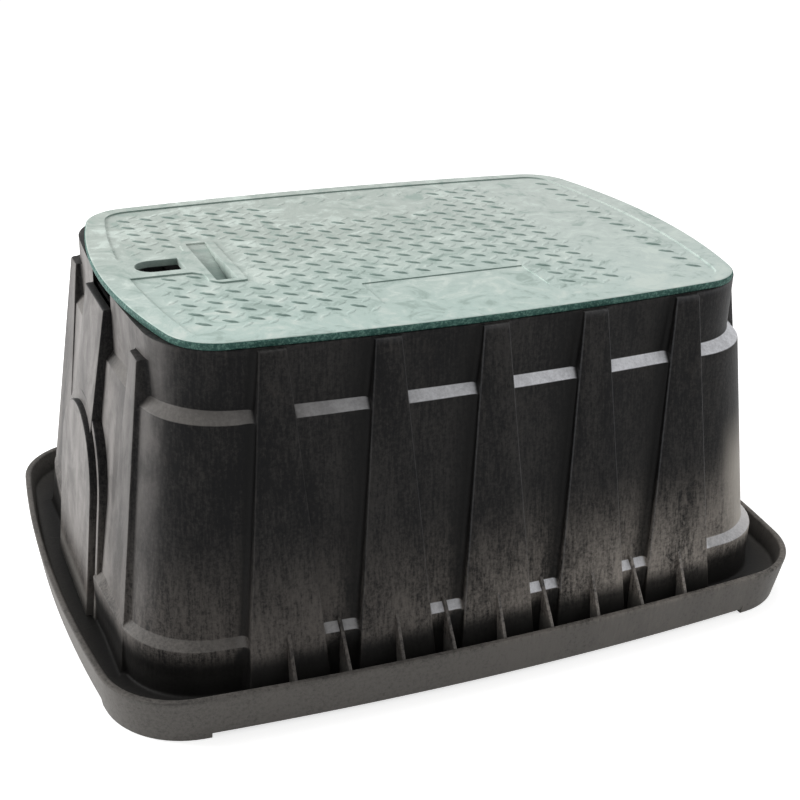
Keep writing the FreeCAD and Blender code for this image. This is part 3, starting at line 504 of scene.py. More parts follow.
def moulding():
    """The body's one surface: every row is the outline at its stage, every column follows the ribs' edges.

    A column on a rib stands out from the wall by share x (rib face - wall) + share x edge radius, so that its
    face is flat and its edges are round. The columns between the last side rib and the end rib go round the
    corner at even lengths, and on the flange they stop at the feet. The middle columns of the ends follow the
    arch.
    """
    rows = rounded_rows(moulding_rows())
    height, stages = rows[:, 0:1], rows[:, 2:7]
    rib, end_rib, middle, inside, base, foot, lip = (rows[:, 7 + i:8 + i] for i in range(len(ROW_FLAGS)))
    inside, base, lip = inside > 0.5, base > 0.5, lip > 0.5
    on_sides = rib_columns(0.0, True) + plain_column(RIB_PITCH / 2) + rib_columns(RIB_PITCH)
    on_sides = np.array(on_sides + plain_column(1.5 * RIB_PITCH) + rib_columns(2 * RIB_PITCH)).T
    on_end = np.array(rib_columns(END_RIB_OFFSET)[::-1]).T
    side_count, end_count = on_sides.shape[1], on_end.shape[1]
    corner_count = BESIDE_FOOT + OVER_FOOT + BESIDE_FOOT
    counts = (side_count, corner_count, end_count, 1, len(MIDDLE_SHARES))

    def shape(stages):
        """x and y of every column at the given stages."""
        outline = Outline(stages)
        grown = np.where(base | inside, 0, np.maximum(stages[:, 0:1] / 2 - HEM[0] / 2, 0))
        half_out, reach_out = between(RIB_OUTSIDE, height)
        half_in, reach_in = between(RIB_HOLLOW, height)
        half = np.where(inside, half_in, half_out + grown)
        reach = np.where(inside, reach_in, reach_out + grown)
        s_side, out_side = standing(on_sides, outline, 1, half, reach, rib)
        half, reach = (value + grown for value in between(END_RIB, height))
        s_end, out_end = standing(on_end, outline, 0, half, reach, end_rib)

        # Round the corner, with a pair of columns at each end of the foot
        start, stop = s_side[:, -1:], s_end[:, :1]
        foot_side = outline.side_length(np.full_like(height, FOOT_SIDE_START))
        foot_end = outline.end_length(np.full_like(height, FOOT_END_START))
        foot_start = np.where(base, foot_side, start + 0.25 * (stop - start))
        foot_stop = np.where(base, foot_end, start + 0.75 * (stop - start))
        shares = np.linspace(0, 1, BESIDE_FOOT + 1)
        s_corner = np.concatenate([
            start + (foot_start - start) * shares[1:],
            foot_start + (foot_stop - foot_start) * np.linspace(0, 1, OVER_FOOT),
            foot_stop + (stop - foot_stop) * shares[:-1],
        ], 1)

        # Middle of the end: half an arch that narrows to the block and the notch
        arch_half = np.where(inside, KNOCK_OUT_HALF - KNOCK_OUT_SKIN, KNOCK_OUT_HALF + FRAME_MARGIN / 2 + 1)
        over = np.maximum(height - FLOOR_TOP - KNOCK_OUT_SPRING, 0)
        arch = np.sqrt(np.maximum(arch_half**2 - over**2, 0))
        block_half = np.where(inside & (middle > 0.5), BLOCK_HALF - WALL, NOTCH_HALF)
        s_middle = outline.end_length(np.maximum(arch, block_half) * MIDDLE_SHARES)
        recess = KNOCK_OUT_REACH - (height - FLOOR_TOP) * math.tan(KNOCK_OUT_LEAN)
        recess = recess - KNOCK_OUT_SKIN / math.cos(KNOCK_OUT_LEAN)
        hollow, = between(BLOCK_HOLLOW, height)
        back = np.where(arch > block_half, recess, hollow)
        out_middle = np.maximum(back - outline.at(s_middle)[0], 0) * middle * np.array([0.0, 1, 1, 1, 1])
        s_gap = (s_end[:, -1:] + s_middle[:, :1]) / 2

        x, y = outline.at(np.concatenate([s_side, s_corner, s_end, s_gap, s_middle], 1))
        first = side_count + corner_count
        y[:, :side_count] += out_side
        x[:, first:first + end_count] += out_end
        x[:, -len(MIDDLE_SHARES):] += out_middle
        return x, y

    def spread(*values):
        """Values of the columns of the side, the corner, the end rib, the gap and the middle, joined."""
        return np.concatenate([np.broadcast_to(v, (len(rows), n)) for v, n in zip(values, counts)], 1)

    x, y = shape(stages)
    on_foot = np.zeros(x.shape[1])
    on_foot[side_count + BESIDE_FOOT:side_count + BESIDE_FOOT + OVER_FOOT] = 1
    z = np.broadcast_to(height, x.shape) + foot * FOOT_HEIGHT * (1 - on_foot)
    notch_x, notch_y = shape(np.where(lip, inset(COLLAR, WALL), stages))
    in_notch = np.arange(x.shape[1]) > x.shape[1] - len(MIDDLE_SHARES)
    x, y = np.where(in_notch, notch_x, x), np.where(in_notch, notch_y, y)
    z = np.where(in_notch, np.minimum(z, BLOCK[1][0]), z)

    # Tint: painted highlight on the two ledges and faintly on the ribs' edges, painted shade from the hem
    # down into the trough
    outside = ~(base | inside | lip)
    on_ledge = np.zeros_like(height)
    for low, high in (UPPER_LEDGE, LOWER_LEDGE):
        on_ledge = np.maximum(on_ledge, np.clip(np.minimum(height - low, high - height) / 0.5 + 0.5, 0, 1))
    sunk = np.where(outside, np.clip((LOWER_LEDGE[0] - 1.0 - height) / 14.0, 0, 1), 0)
    in_trough = base & (height > 18) & (height < FLANGE_TOP - 6) & (stages[:, 0:1] < FLANGE[0] - 14)
    sunk = np.where(in_trough, TROUGH_SHADE, sunk)
    flat_side, flat_end = ((1 - stand) * (1 - root) ** 3 for _, _, _, stand, _, root in (on_sides, on_end))
    on_wall = spread(flat_side, 1.0, flat_end, 1.0, 0.0)
    on_edge = spread((on_sides[4] < -0.1) * rib, 0.0, (on_end[4] < -0.1) * end_rib, 0.0, 0.0)
    low_corner = (np.abs(x) > 215) & (height < 100)
    pale = np.maximum(on_ledge * on_wall * np.where(low_corner, LOW_CORNER_SHARE, 1), EDGE_HIGHLIGHT * on_edge)
    tint = np.where(outside, pale, 0) - sunk * (1 - on_ledge)
    # Painted highlight along each rib's top cap
    cap = (height < RIB_OUTSIDE[1][0] + 0.01) & (height > RIB_OUTSIDE[1][0] - 1.3) & (rib > 0.5)
    tint = np.maximum(tint, np.where(outside & cap, CAP_HIGHLIGHT, -1))

    # Painted shade: strong in the angle on each rib's -X side, faint on its +X side and on the wall between
    # ribs
    _, share, _, stand, *_ = on_sides
    beside = [(share * sign > 0.9) & (stand < 0.5) for sign in (1, -1)]
    between_ribs = (share == 0) & (stand < 0.5) & (flat_side > 0.5)
    towards, away, wall = (
        np.where(outside, spread(columns * rib, 0.0, 0.0, 0.0, 0.0), 0) * (1 - on_ledge)
        for columns in (*beside, between_ribs))
    right = tint - FAINT_RIB_SHADE * towards - RIB_SHADE * away - WALL_SHADE * wall
    left = tint - RIB_SHADE * towards - FAINT_RIB_SHADE * away - WALL_SHADE * wall

    # The end's middle is left open for the arched panel and the block, up to the notch
    open_rows = (outside & (height <= BLOCK[1][0] + 0.01))[:, 0]
    notch_all = four_quarters(in_notch, in_notch)
    pair_notch = notch_all & np.roll(notch_all, -1)
    keep = ~((open_rows[:-1] & open_rows[1:])[:, None] & pair_notch[None, :])
    points, faces = grid(np.stack([*all_round(x, y), four_quarters(z, z)], -1), True, keep)
    return points, faces[:, ::-1], four_quarters(right, left).ravel()


def end_wall(y, z):
    """How far out the end's outer face is at a width y and a height z."""
    knots = [FLOOR_TOP, *LOWER_LEDGE, *UPPER_LEDGE, COLLAR_TOP]
    forms = np.array([HEM, HEM, WAIST, BELT, COLLAR, COLLAR])
    stages = np.stack([np.interp(z, knots, forms[:, i]) for i in range(5)], -1)
    outline = Outline(stages.reshape(-1, 5))
    s = outline.end_length(np.abs(y).reshape(-1, 1))
    return outline.at(s)[0].reshape(np.shape(y))


def arched_panel():
    """Frame, groove and knock-out of the right end: a profile of (radius, depth) carried round a doorway.

    The path runs up one jamb, round the head and down the other. Radius 0 is the panel's spine, and the
    first row lies inside the wall.
    """
    jamb = np.linspace(-2.5, KNOCK_OUT_SPRING, 10)
    head = np.linspace(math.pi, 0, 41)[1:-1]
    straight = np.ones(len(jamb))
    rise = np.r_[jamb, np.full(len(head), KNOCK_OUT_SPRING), jamb[::-1]]
    across, up = np.r_[-straight, np.cos(head), straight], np.r_[0 * straight, np.sin(head), 0 * straight]
    frame_radius = KNOCK_OUT_HALF + FRAME_MARGIN
    groove = KNOCK_OUT_HALF + GROOVE_WIDTH
    low = -KNOCK_OUT_RELIEF
    profile = rounded(np.array([
        (frame_radius, low - 14.0), (frame_radius, low), (groove, low), (groove, low - GROOVE_DEPTH),
        (KNOCK_OUT_HALF, low - GROOVE_DEPTH), (KNOCK_OUT_HALF, 0.0), (KNOCK_OUT_HALF - 6.0, 0.0),
        (30.0, 0.0), (0.0, 0.0),
    ]), (0, 1.6, 0.8, 0.6, 0.6, 1.6, 0, 0, 0))
    radius, depth = profile[:, :1], profile[:, 1:]
    u = radius * across
    v = rise + radius * up
    x = KNOCK_OUT_REACH - v * math.sin(KNOCK_OUT_LEAN) + depth * math.cos(KNOCK_OUT_LEAN)
    z = FLOOR_TOP + v * math.cos(KNOCK_OUT_LEAN) + depth * math.sin(KNOCK_OUT_LEAN)
    x[0] = np.minimum(x[1], end_wall(u[0], z[0]) - WALL / 2)
    return grid(np.stack([x, u, z], -1))


def end_block():
    """Block above the knock-out of the right end: a round-edged channel section carried up the wall.

    Its top rows ease in for a round edge. The first and last rows and columns lie inside the wall.
    """
    heights = np.array([165.0, 165, 185, 205, 224, 243, 251, 268, 284.4, 285.4, 285.9, 286, 286])
    ease = np.array([0.0] * 9 + [0.25, 0.8, 1.4, 0.0])[:, None]
    half = np.r_[BLOCK_HALF, BLOCK_HALF - RIB_EDGE * (1 - np.cos(FILLET)), BLOCK_HALF / 2, 0.0]
    back = np.r_[0.0, RIB_EDGE * (1 - np.sin(FILLET)), 0.0, 0.0]
    reach, = between(BLOCK, heights)
    x = reach[:, None] - ease - back
    y = half - np.sign(half) * ease
    x, y = np.c_[x, x[:, -2::-1]], np.c_[y, -y[:, -2::-1]]
    z = np.broadcast_to(heights[:, None], x.shape)
    buried = end_wall(y, z) - WALL / 2
    for edge in (np.s_[0], np.s_[-1], np.s_[:, 0], np.s_[:, -1]):
        x[edge] = buried[edge]
    return grid(np.stack([x, y, z], -1))


def web(index):
    """One web on the +Y side: a round-topped fin whose top edge slopes from the wall to the rim.

    A profile across it is carried along the top edge, and its first and last rows drop into the floor.
    """
    place = index * WEB_PITCH
    rim = FLANGE[1] / 2 - FLANGE_DRAFT - FLANGE_WALL - place**2 / 2 / RIM_BOW_RADIUS
    rim += FLANGE_DRAFT * WEB_FOOT / FLANGE_TOP
    bottom = FLOOR_TOP - WALL / 2
    if index % 2 == 0:
        head, foot = (between(RIB_OUTSIDE, z)[1] - place**2 / 2 / RIB_BOW_RADIUS for z in (WEB_TOP, bottom))
        root, root_foot = head - WALL / 2, foot - WEB_SUNK
    else:
        wall = WAIST[1] / 2 - place**2 / 2 / SIDE_BOW_RADIUS
        head, root, root_foot = wall + 1.5, wall - WALL / 2, wall - WALL / 2
    middle = ((head + rim) / 2, (WEB_TOP + WEB_FOOT) / 2)
    top = rounded(np.array([
        (root, WEB_TOP), (head, WEB_TOP), middle, (rim, WEB_FOOT), (rim + 2.0, WEB_FOOT),
    ]), (0, 2.0, 0, 2.0, 0))
    inward, down = WEB_EDGE * (1 - np.cos(FILLET)), WEB_EDGE * (1 - np.sin(FILLET))
    across = np.r_[-WEB_HALF, inward - WEB_HALF, WEB_HALF - inward[::-1], WEB_HALF]
    sink = np.r_[0.0, down, down[::-1], 0.0][:, None]
    x = np.broadcast_to(place + across[:, None], (len(across), len(top)))
    y = np.array(np.broadcast_to(top[:, 0], x.shape))
    z = top[:, 1] - sink
    y[0] = y[-1] = np.maximum(y[0], root_foot)
    z[0] = z[-1] = bottom
    # Painted highlight along the web's round top, painted shade on its flanks, darkest at the foot
    tint = np.where(sink < 0.5 * WEB_EDGE, CAP_HIGHLIGHT, 0) * np.ones_like(z)
    tint[0] = tint[-1] = -WEB_ROOT_SHADE
    return *grid(np.stack([x, y, z], -1)), tint.ravel()


# Lid

def outline_loop(stage, side=14, corner=9, end=12):
    """Closed loop of a bowed rectangle, clockwise from above."""
    outline = Outline(stage[None, :])
    marks = [0.0, outline.side_run[0, 0], (outline.side_run + outline.corner_run)[0, 0], outline.total[0, 0]]
    runs = [np.linspace(a, b, count)[:-1] for a, b, count in zip(marks, marks[1:], (side, corner, end))]
    x, y = all_round(*outline.at(np.concatenate([*runs, marks[-1:]])[None, :]))
    return np.column_stack([x[0], y[0]])


def shifted(loop, gap):
    """A clockwise loop moved inward by a gap: each point along the mean of its two edges' normals."""
    ahead = np.roll(loop, -1, 0) - loop
    ahead /= np.linalg.norm(ahead, axis=1)[:, None]
    normal = np.column_stack([ahead[:, 1], -ahead[:, 0]])
    mean = normal + np.roll(normal, 1, 0)
    return loop + gap * 2 * mean / (mean**2).sum(1)[:, None]


def lifted(loop, gap, z):
    """A loop moved inward by a gap, at a height."""
    return np.column_stack([shifted(loop, gap), np.full(len(loop), z)])


def strip(loop, profile, outward=False, painted_shade=0.0):
    """A profile of (gap, height) carried round a loop, from the top down; facing the middle or outward.

    With a share of painted shade, its steep rows are darkened where they face -Y.
    """
    points, faces = grid(np.stack([lifted(loop, gap, z) for gap, z in profile]), True)
    ahead = np.roll(loop, -1, 0) - np.roll(loop, 1, 0)
    front = np.clip(1.5 * ahead[:, 0] / np.linalg.norm(ahead, axis=1), 0, 1)
    steep = np.abs(np.arange(len(profile)) - (len(profile) - 1) / 2) < len(profile) / 2 - 1.5
    tint = painted_shade * (steep[:, None] * front).ravel()
    return points, faces[:, ::-1] if outward else faces, tint


def round_loop(points, reach):
    """Closed loop through points, each corner rounded by a cut; a cut of 0 keeps the point."""
    reach = np.broadcast_to(reach, len(points))
    whole = np.array([points[-1], *points, points[0]], float)
    return rounded(whole, (0, *reach, 0), 3)[1:-1]


def box_loop(x0, x1, y0, y1, reach):
    """A rectangle's loop, clockwise from above, with its corners rounded."""
    return round_loop([(x0, y1), (x1, y1), (x1, y0), (x0, y0)], reach)


def field_loop():
    """Edge of the sunk field: the bowed outline, going in on the left round the pad's stem and crossbar."""
    low, high = LOCK_LINE - STEM_HALF, LOCK_LINE + STEM_HALF
    left, right = CROSSBAR
    cut = PAD_CORNER
    loop = outline_loop(FIELD)
    outline = Outline(FIELD[None, :])
    halves = []
    for sign, level in ((-1, low), (1, high)):
        start = -outline.at(outline.end_length(np.array([[abs(level)]])))[0][0, 0]
        halves.append(np.array([(x, LOCK_LINE + sign * y) for x, y in (
            (start, STEM_HALF), (left - cut, STEM_HALF), (left, STEM_HALF + cut),
            (left, CROSSBAR_HALF - cut), (left + cut, CROSSBAR_HALF), (right, CROSSBAR_HALF),
        )]))
    path = rounded(np.concatenate([halves[0], halves[1][::-1]]), (0, *[3.0] * 10, 0), 3)
    gone = (loop[:, 0] < 0) & (loop[:, 1] > low - 2) & (loop[:, 1] < high + 2)
    first = np.argmax(gone)
    return np.concatenate([loop[:first], path, loop[first + gone.sum():]])


def pick_loop():
    """Edge of the pick hole: a rectangle with a half circle towards the lid's edge."""
    start, end = PICK
    centre = start + PICK_HALF
    turn = np.linspace(-math.pi / 2, -1.5 * math.pi, 17)[1:-1]
    arc = np.column_stack([centre + PICK_HALF * np.cos(turn), LOCK_LINE + PICK_HALF * np.sin(turn)])
    low, high = LOCK_LINE - PICK_HALF, LOCK_LINE + PICK_HALF
    points = [(centre, high), (end, high), (end, low), (centre, low), *arc]
    return round_loop(points, [0, 1.6, 1.6, 0, *[0] * len(arc)])


def slot_floor(y):
    """Height of the slot's floor: flat at the deep end, then a straight ramp up to the field's level."""
    low, high = SLOT_SPAN
    rise = np.clip((y - low - SLOT_FLOOR) / (high - low - SLOT_FLOOR), 0, None)
    return LID_TOP - SLOT_DEPTH + rise * (SLOT_DEPTH - FIELD_DEPTH)


def slot(loop):
    """Walls of the slot down to its floor, and the floor, which runs into the walls; painted shade, darker
    with depth.
    """
    edge = rounded(np.array([(-1.0, LID_TOP), (0.0, LID_TOP), (0.0, LID_TOP - 0.8)]), (0, 0.7, 0), 3)
    foot = np.column_stack([loop, slot_floor(loop[:, 1]) - 0.3])
    walls = grid(np.stack([*(lifted(loop, gap, z) for gap, z in edge), foot]), True)
    (left, right), (low, high) = SLOT, SLOT_SPAN
    y = np.r_[low - 0.5, low + SLOT_FLOOR + np.linspace(-3, 3, 5), high + 0.5]
    x = np.array([left - 0.5, (left + right) / 2, right + 0.5])
    x, y = np.meshgrid(x, y, indexing="ij")
    floor = grid(np.stack([x, y, slot_floor(y)], -1))
    return [(*part, 0.85 * np.clip((LID_TOP - 0.6 - part[0][:, 2]) / 9, 0, 1)) for part in (walls, floor)]


def tread_places(columns, rows):
    """Centres of the bars at the given columns and rows, off the bare areas and clear of the field's edge."""
    x = TREAD_CENTRE[0] + columns * TREAD_PITCH[0]
    y = TREAD_CENTRE[1] + rows * TREAD_PITCH[1]
    x, y = (places.ravel() for places in np.meshgrid(x, y))
    half_length, half_width = FIELD[0] / 2 - BLANK_MARGIN, FIELD[1] / 2 - BLANK_MARGIN
    keep = np.abs(x) < half_length - FIELD[2] * (y / half_width) ** 2
    keep &= np.abs(y) < half_width - FIELD[3] * (x / half_length) ** 2
    m = BLANK_MARGIN
    bare = (
        BARE_PATCH,
        (PANEL[0] - m, PANEL[1] + m, -400, PANEL[3] + m),
        (*BARE_BAND, -400, 400),
        (-400, CROSSBAR[1] + m, LOCK_LINE - STEM_HALF - m, LOCK_LINE + STEM_HALF + m),
        (CROSSBAR[0] - m, CROSSBAR[1] + m, LOCK_LINE - CROSSBAR_HALF - m, LOCK_LINE + CROSSBAR_HALF + m),
    )
    for x0, x1, y0, y1 in bare:
        keep &= ~((x > x0) & (x < x1) & (y > y0) & (y < y1))
    return x[keep], y[keep]


def tread(columns, rows, angle, height, shade):
    """Domed lozenge bars: rings of r (|cos t|^1.3, |sin t|^1.3) at heights that fall off to the field."""
    x, y = tread_places(columns, rows)
    t = np.linspace(0, 2 * math.pi, BAR_RING + 1)[:-1]
    ring_x, ring_y = (np.sign(c) * np.abs(c) ** 1.3 * h for c, h in zip((np.cos(t), np.sin(t)), BAR_HALF))
    turned = ring_x * math.cos(angle) - ring_y * math.sin(angle)
    across = ring_x * math.sin(angle) + ring_y * math.cos(angle)
    rings = np.array([(1.12, -0.15), (0.95, 0.45), (0.55, 0.93), (0.2, 1.0)])[:, :, None]
    shape = [rings[:, 0] * turned, rings[:, 0] * across, rings[:, 1] * height + FIELD_LEVEL]
    points, quads = flipped(grid(np.stack(np.broadcast_arrays(*shape), -1), True))
    # Painted shade on each bar's front side, faint all round
    front = np.clip(-3 * np.sin(t), 0, 1) * np.array([1, 1, 0.8, 0.3])[:, None]
    tint = np.tile(np.maximum(front, 0.15).ravel() * shade, len(x))
    places = np.column_stack([x, y, np.zeros(len(x))])
    everywhere = (points[None] + places[:, None]).reshape(-1, 3)
    starts = len(points) * np.arange(len(x))[:, None]
    faces = (quads[None] + starts[:, None]).reshape(-1, 4)
    caps = np.arange(len(points) - BAR_RING, len(points)) + starts
    return [(everywhere, faces, tint), (everywhere, caps, tint)]


def underside():
    """Skirt, cross ribs and the slot's box below the plate."""
    low = COLLAR_TOP - SKIRT_DEPTH
    side = np.array([(0, IN_PLATE), (0, low), (SKIRT_WALL, low), (SKIRT_WALL, IN_PLATE)])
    parts = [strip(outline_loop(inset(COLLAR, SKIRT_GAP)), rounded(side, (0, 1.0, 1.0, 0), 3), True)]
    within_skirt = Outline(inset(COLLAR, SKIRT_GAP + SKIRT_WALL / 2)[None, :])
    low, half = COLLAR_TOP - LID_RIB_DEPTH, LID_RIB_HALF
    across = np.array([(-half, IN_PLATE), (-half, low), (half, low), (half, IN_PLATE)])
    across = rounded(across, (0, 0.8, 0.8, 0), 3)
    for x in LID_RIB_X:
        reach = within_skirt.at(within_skirt.side_length(np.array([[abs(x)]])))[1][0, 0]
        y = np.linspace(-reach, reach, 9)
        rows = np.stack(np.broadcast_arrays(x + across[:, :1], y, across[:, 1:]), -1)
        parts.append(flipped(grid(rows)))
    low = LID_TOP - SLOT_DEPTH - SLOT_BOX_WALL
    box = (end + sign * SLOT_BOX_WALL for end, sign in zip(SLOT + SLOT_SPAN, (-1, 1, -1, 1)))
    loop = box_loop(*box, 2.0)
    side = rounded(np.array([(0, IN_PLATE), (0, low), (1.2, low)]), (0, 1.0, 0), 3)
    return [*parts, strip(loop, side, True), fill([shifted(loop, 1.2)], low, False)]


def lid_parts():
    """Plate, field, panel and holes of the lid: rounded profiles carried round loops, with flat fills."""
    edge = outline_loop(LID, 25, 13, 15)
    sunk = field_loop()
    pick = pick_loop()
    slot_edge = box_loop(*SLOT, *SLOT_SPAN, 1.6)
    panel = box_loop(*PANEL, 1.5)
    top, level, floor, bottom = LID_TOP, FIELD_LEVEL, FIELD_LEVEL - PANEL_DEPTH, COLLAR_TOP
    rim = [(2.6, top), (1.4, top), (0.0, top - 1.4), (EDGE_DRAFT, bottom), (1.8, bottom)]
    rim = rounded(np.array(rim), (0, 0.9, 0.9, 0.7, 0), 4)
    step, dip, through = (rounded(np.array(profile), (0, cut, cut, 0), 3) for cut, profile in (
        (0.6, [(-1.0, top), (0.0, top), (0.0, level), (1.0, level)]),
        (0.4, [(-0.8, level), (0.0, level), (0.0, floor), (0.8, floor)]),
        (0.7, [(-1.0, top), (0.0, top), (0.0, bottom), (-1.0, bottom)]),
    ))
    rim_points, rim_faces, _ = strip(edge, rim, True)
    # The rim's side below the top takes the deep green, without the pale painted sheen of the top
    deep = np.clip((top - 0.15 - rim_points[:, 2]) / 0.6, 0, 1)
    parts = [
        (rim_points, rim_faces, -deep), strip(sunk, step, painted_shade=0.8), strip(pick, through, painted_shade=0.7),
        strip(panel, dip, painted_shade=0.8), *slot(slot_edge),
        fill([shifted(edge, 2.6), shifted(sunk, -1.0), shifted(pick, -1.0), shifted(slot_edge, -1.0)], top),
        fill([shifted(sunk, 1.0), shifted(panel, -0.8)], level),
        fill([shifted(panel, 0.8)], floor),
    ]
    below = fill([shifted(edge, 1.8), shifted(pick, -1.0), shifted(slot_edge, -2.0)], bottom, False)
    return parts + [(part[0], part[1], np.full(len(part[0]), -1.0)) for part in (below, *underside())]


# Materials

class Sum:
    """A socket's value in shader maths: each operator adds one Math node."""

    def __init__(self, paint, socket):
        self.paint = paint
        self.socket = socket

    def __add__(self, other):
        return self.paint.math("ADD", self, other)

    def __mul__(self, other):
        return self.paint.math("MULTIPLY", self, other)

    def __sub__(self, other):
        return self.paint.math("SUBTRACT", self, other)

    def __rsub__(self, other):
        return self.paint.math("SUBTRACT", other, self)

    __radd__ = __add__


class Paint:
    """The node tree of a material or of the world, with one method that adds a node."""

    def __init__(self, owner):
        owner.use_nodes = True
        self.owner = owner
        self.tree = owner.node_tree
        self.tree.nodes.clear()

    def node(self, kind, settings=None, sockets=(), output=0):
        """Adds a node: its settings first, then the values or links of its sockets."""
        new = self.tree.nodes.new(kind)
        for name, setting in (settings or {}).items():
            setattr(new, name, setting)
        pairs = sockets.items() if isinstance(sockets, dict) else enumerate(sockets)
        for key, value in pairs:
            if isinstance(value, Sum):
                self.tree.links.new(value.socket, new.inputs[key])
            else:
                new.inputs[key].default_value = value
        return Sum(self, new.outputs[output]) if len(new.outputs) else None

    def math(self, operation, *values):
        """One step of shader maths."""
        return self.node("ShaderNodeMath", {"operation": operation}, values)

    def place(self):
        """Object coordinates."""
        return self.node("ShaderNodeTexCoord", None, (), 3)

    def stored(self, name):
        """A value that the mesh holds."""
        return self.node("ShaderNodeAttribute", {"attribute_name": name}, (), 2)

    def seen(self):
        """1 for rays of the camera, of reflections and of transmission, and 0 for other light."""
        rays = self.node("ShaderNodeLightPath").socket.node.outputs
        camera, *others = (Sum(self, rays[f"Is {kind} Ray"]) for kind in ("Camera", "Glossy", "Transmission"))
        return sum(others, camera)

    def part(self, vector, axis):
        """One component of a vector."""
        return self.node("ShaderNodeSeparateXYZ", None, [vector], axis)

    def noise(self, place, scale, detail, roughness, distortion=0.0, seed=0.0):
        """Cloudy noise from 0 to 1 at a place, about 0.5 on average."""
        return self.node("ShaderNodeTexNoise", {"noise_dimensions": "4D"}, {
            "Vector": place, "W": seed, "Scale": scale, "Detail": detail, "Roughness": roughness,
            "Distortion": distortion,
        })

    def stretched(self, place, factors):
        """The place with its axes multiplied, for streaks."""
        return self.node("ShaderNodeVectorMath", {"operation": "MULTIPLY"}, [place, factors])

    def ramp(self, value, low, high):
        """Smooth step of a value, from 0 at low to 1 at high."""
        settings = {"interpolation_type": "SMOOTHSTEP"}
        return self.node("ShaderNodeMapRange", settings, {"Value": value, "From Min": low, "From Max": high})

    def mix(self, factor, first, second):
        """Colour between two colours."""
        return self.node("ShaderNodeMix", {"data_type": "RGBA"}, {0: factor, 6: first, 7: second}, 2)

    def finish(self, colour, roughness, height=None, bump=0.0, **fixed):
        """Principled shader with a colour, a roughness and a bump of a given depth, and its output."""
        sockets = {"Base Color": colour, "Roughness": roughness, **fixed}
        if height is not None:
            bumps = {"Strength": 1.0, "Distance": bump, "Height": height}
            sockets["Normal"] = self.node("ShaderNodeBump", None, bumps)
        shader = self.node("ShaderNodeBsdfPrincipled", None, sockets)
        self.node("ShaderNodeOutputMaterial", None, [shader])
        return self.owner


def paint_for(name):
    """Paint for the material of a name, which is made if there is none."""
    return Paint(bpy.data.materials.get(name) or bpy.data.materials.new(name))


def rgb(red, green, blue):
    """An opaque colour in linear light."""
    return (red, green, blue, 1.0)


BODY_DARK, BODY_LIGHT = rgb(0.003, 0.003, 0.0035), rgb(0.034, 0.032, 0.0305)
BLOOM = rgb(0.072, 0.064, 0.058)
DUST_LEFT, DUST_RIGHT = rgb(0.12, 0.108, 0.098), rgb(0.36, 0.325, 0.29)
RIM_DUST = rgb(0.15, 0.142, 0.132)
# Colour of the painted shade
SHADE_BLACK = rgb(0.004, 0.004, 0.004)
# Colours of the painted light on the left end and of the painted reflection on the right end
END_LIGHT, CORNER_REFLECTION = rgb(0.26, 0.245, 0.235), rgb(0.5, 0.46, 0.41)
# Colours of the painted highlight, bluish white towards the right
HIGHLIGHT_LEFT, HIGHLIGHT_RIGHT = rgb(0.17, 0.16, 0.15), rgb(0.9, 0.91, 0.95)
LID_BACK, LID_FRONT, LID_RIGHT = rgb(0.45, 0.505, 0.465), rgb(0.49, 0.61, 0.565), rgb(0.6, 0.66, 0.63)
LID_SWIRL, LID_VEIN, LID_FLECK = rgb(0.62, 0.7, 0.65), rgb(0.31, 0.4, 0.36), rgb(0.25, 0.34, 0.3)
LID_SHADE, LID_DEEP, LID_DEEP_FLECK = rgb(0.11, 0.175, 0.155), rgb(0.012, 0.062, 0.05), rgb(0.12, 0.24, 0.2)

# Heights in metres between which a layer of the body's colour comes or goes
BLOOM_HEIGHTS = (0.17, 0.26)
DUST_HEIGHTS = (0.05, 0.16)
RIM_HEIGHTS = (0.036, 0.046)
# Heights of the painted light on the left end and of the painted reflection on the right end
END_LIGHT_HEIGHTS = (0.04, 0.08)
CORNER_REFLECTION_HEIGHTS = ((0.055, 0.066), (0.12, 0.19))


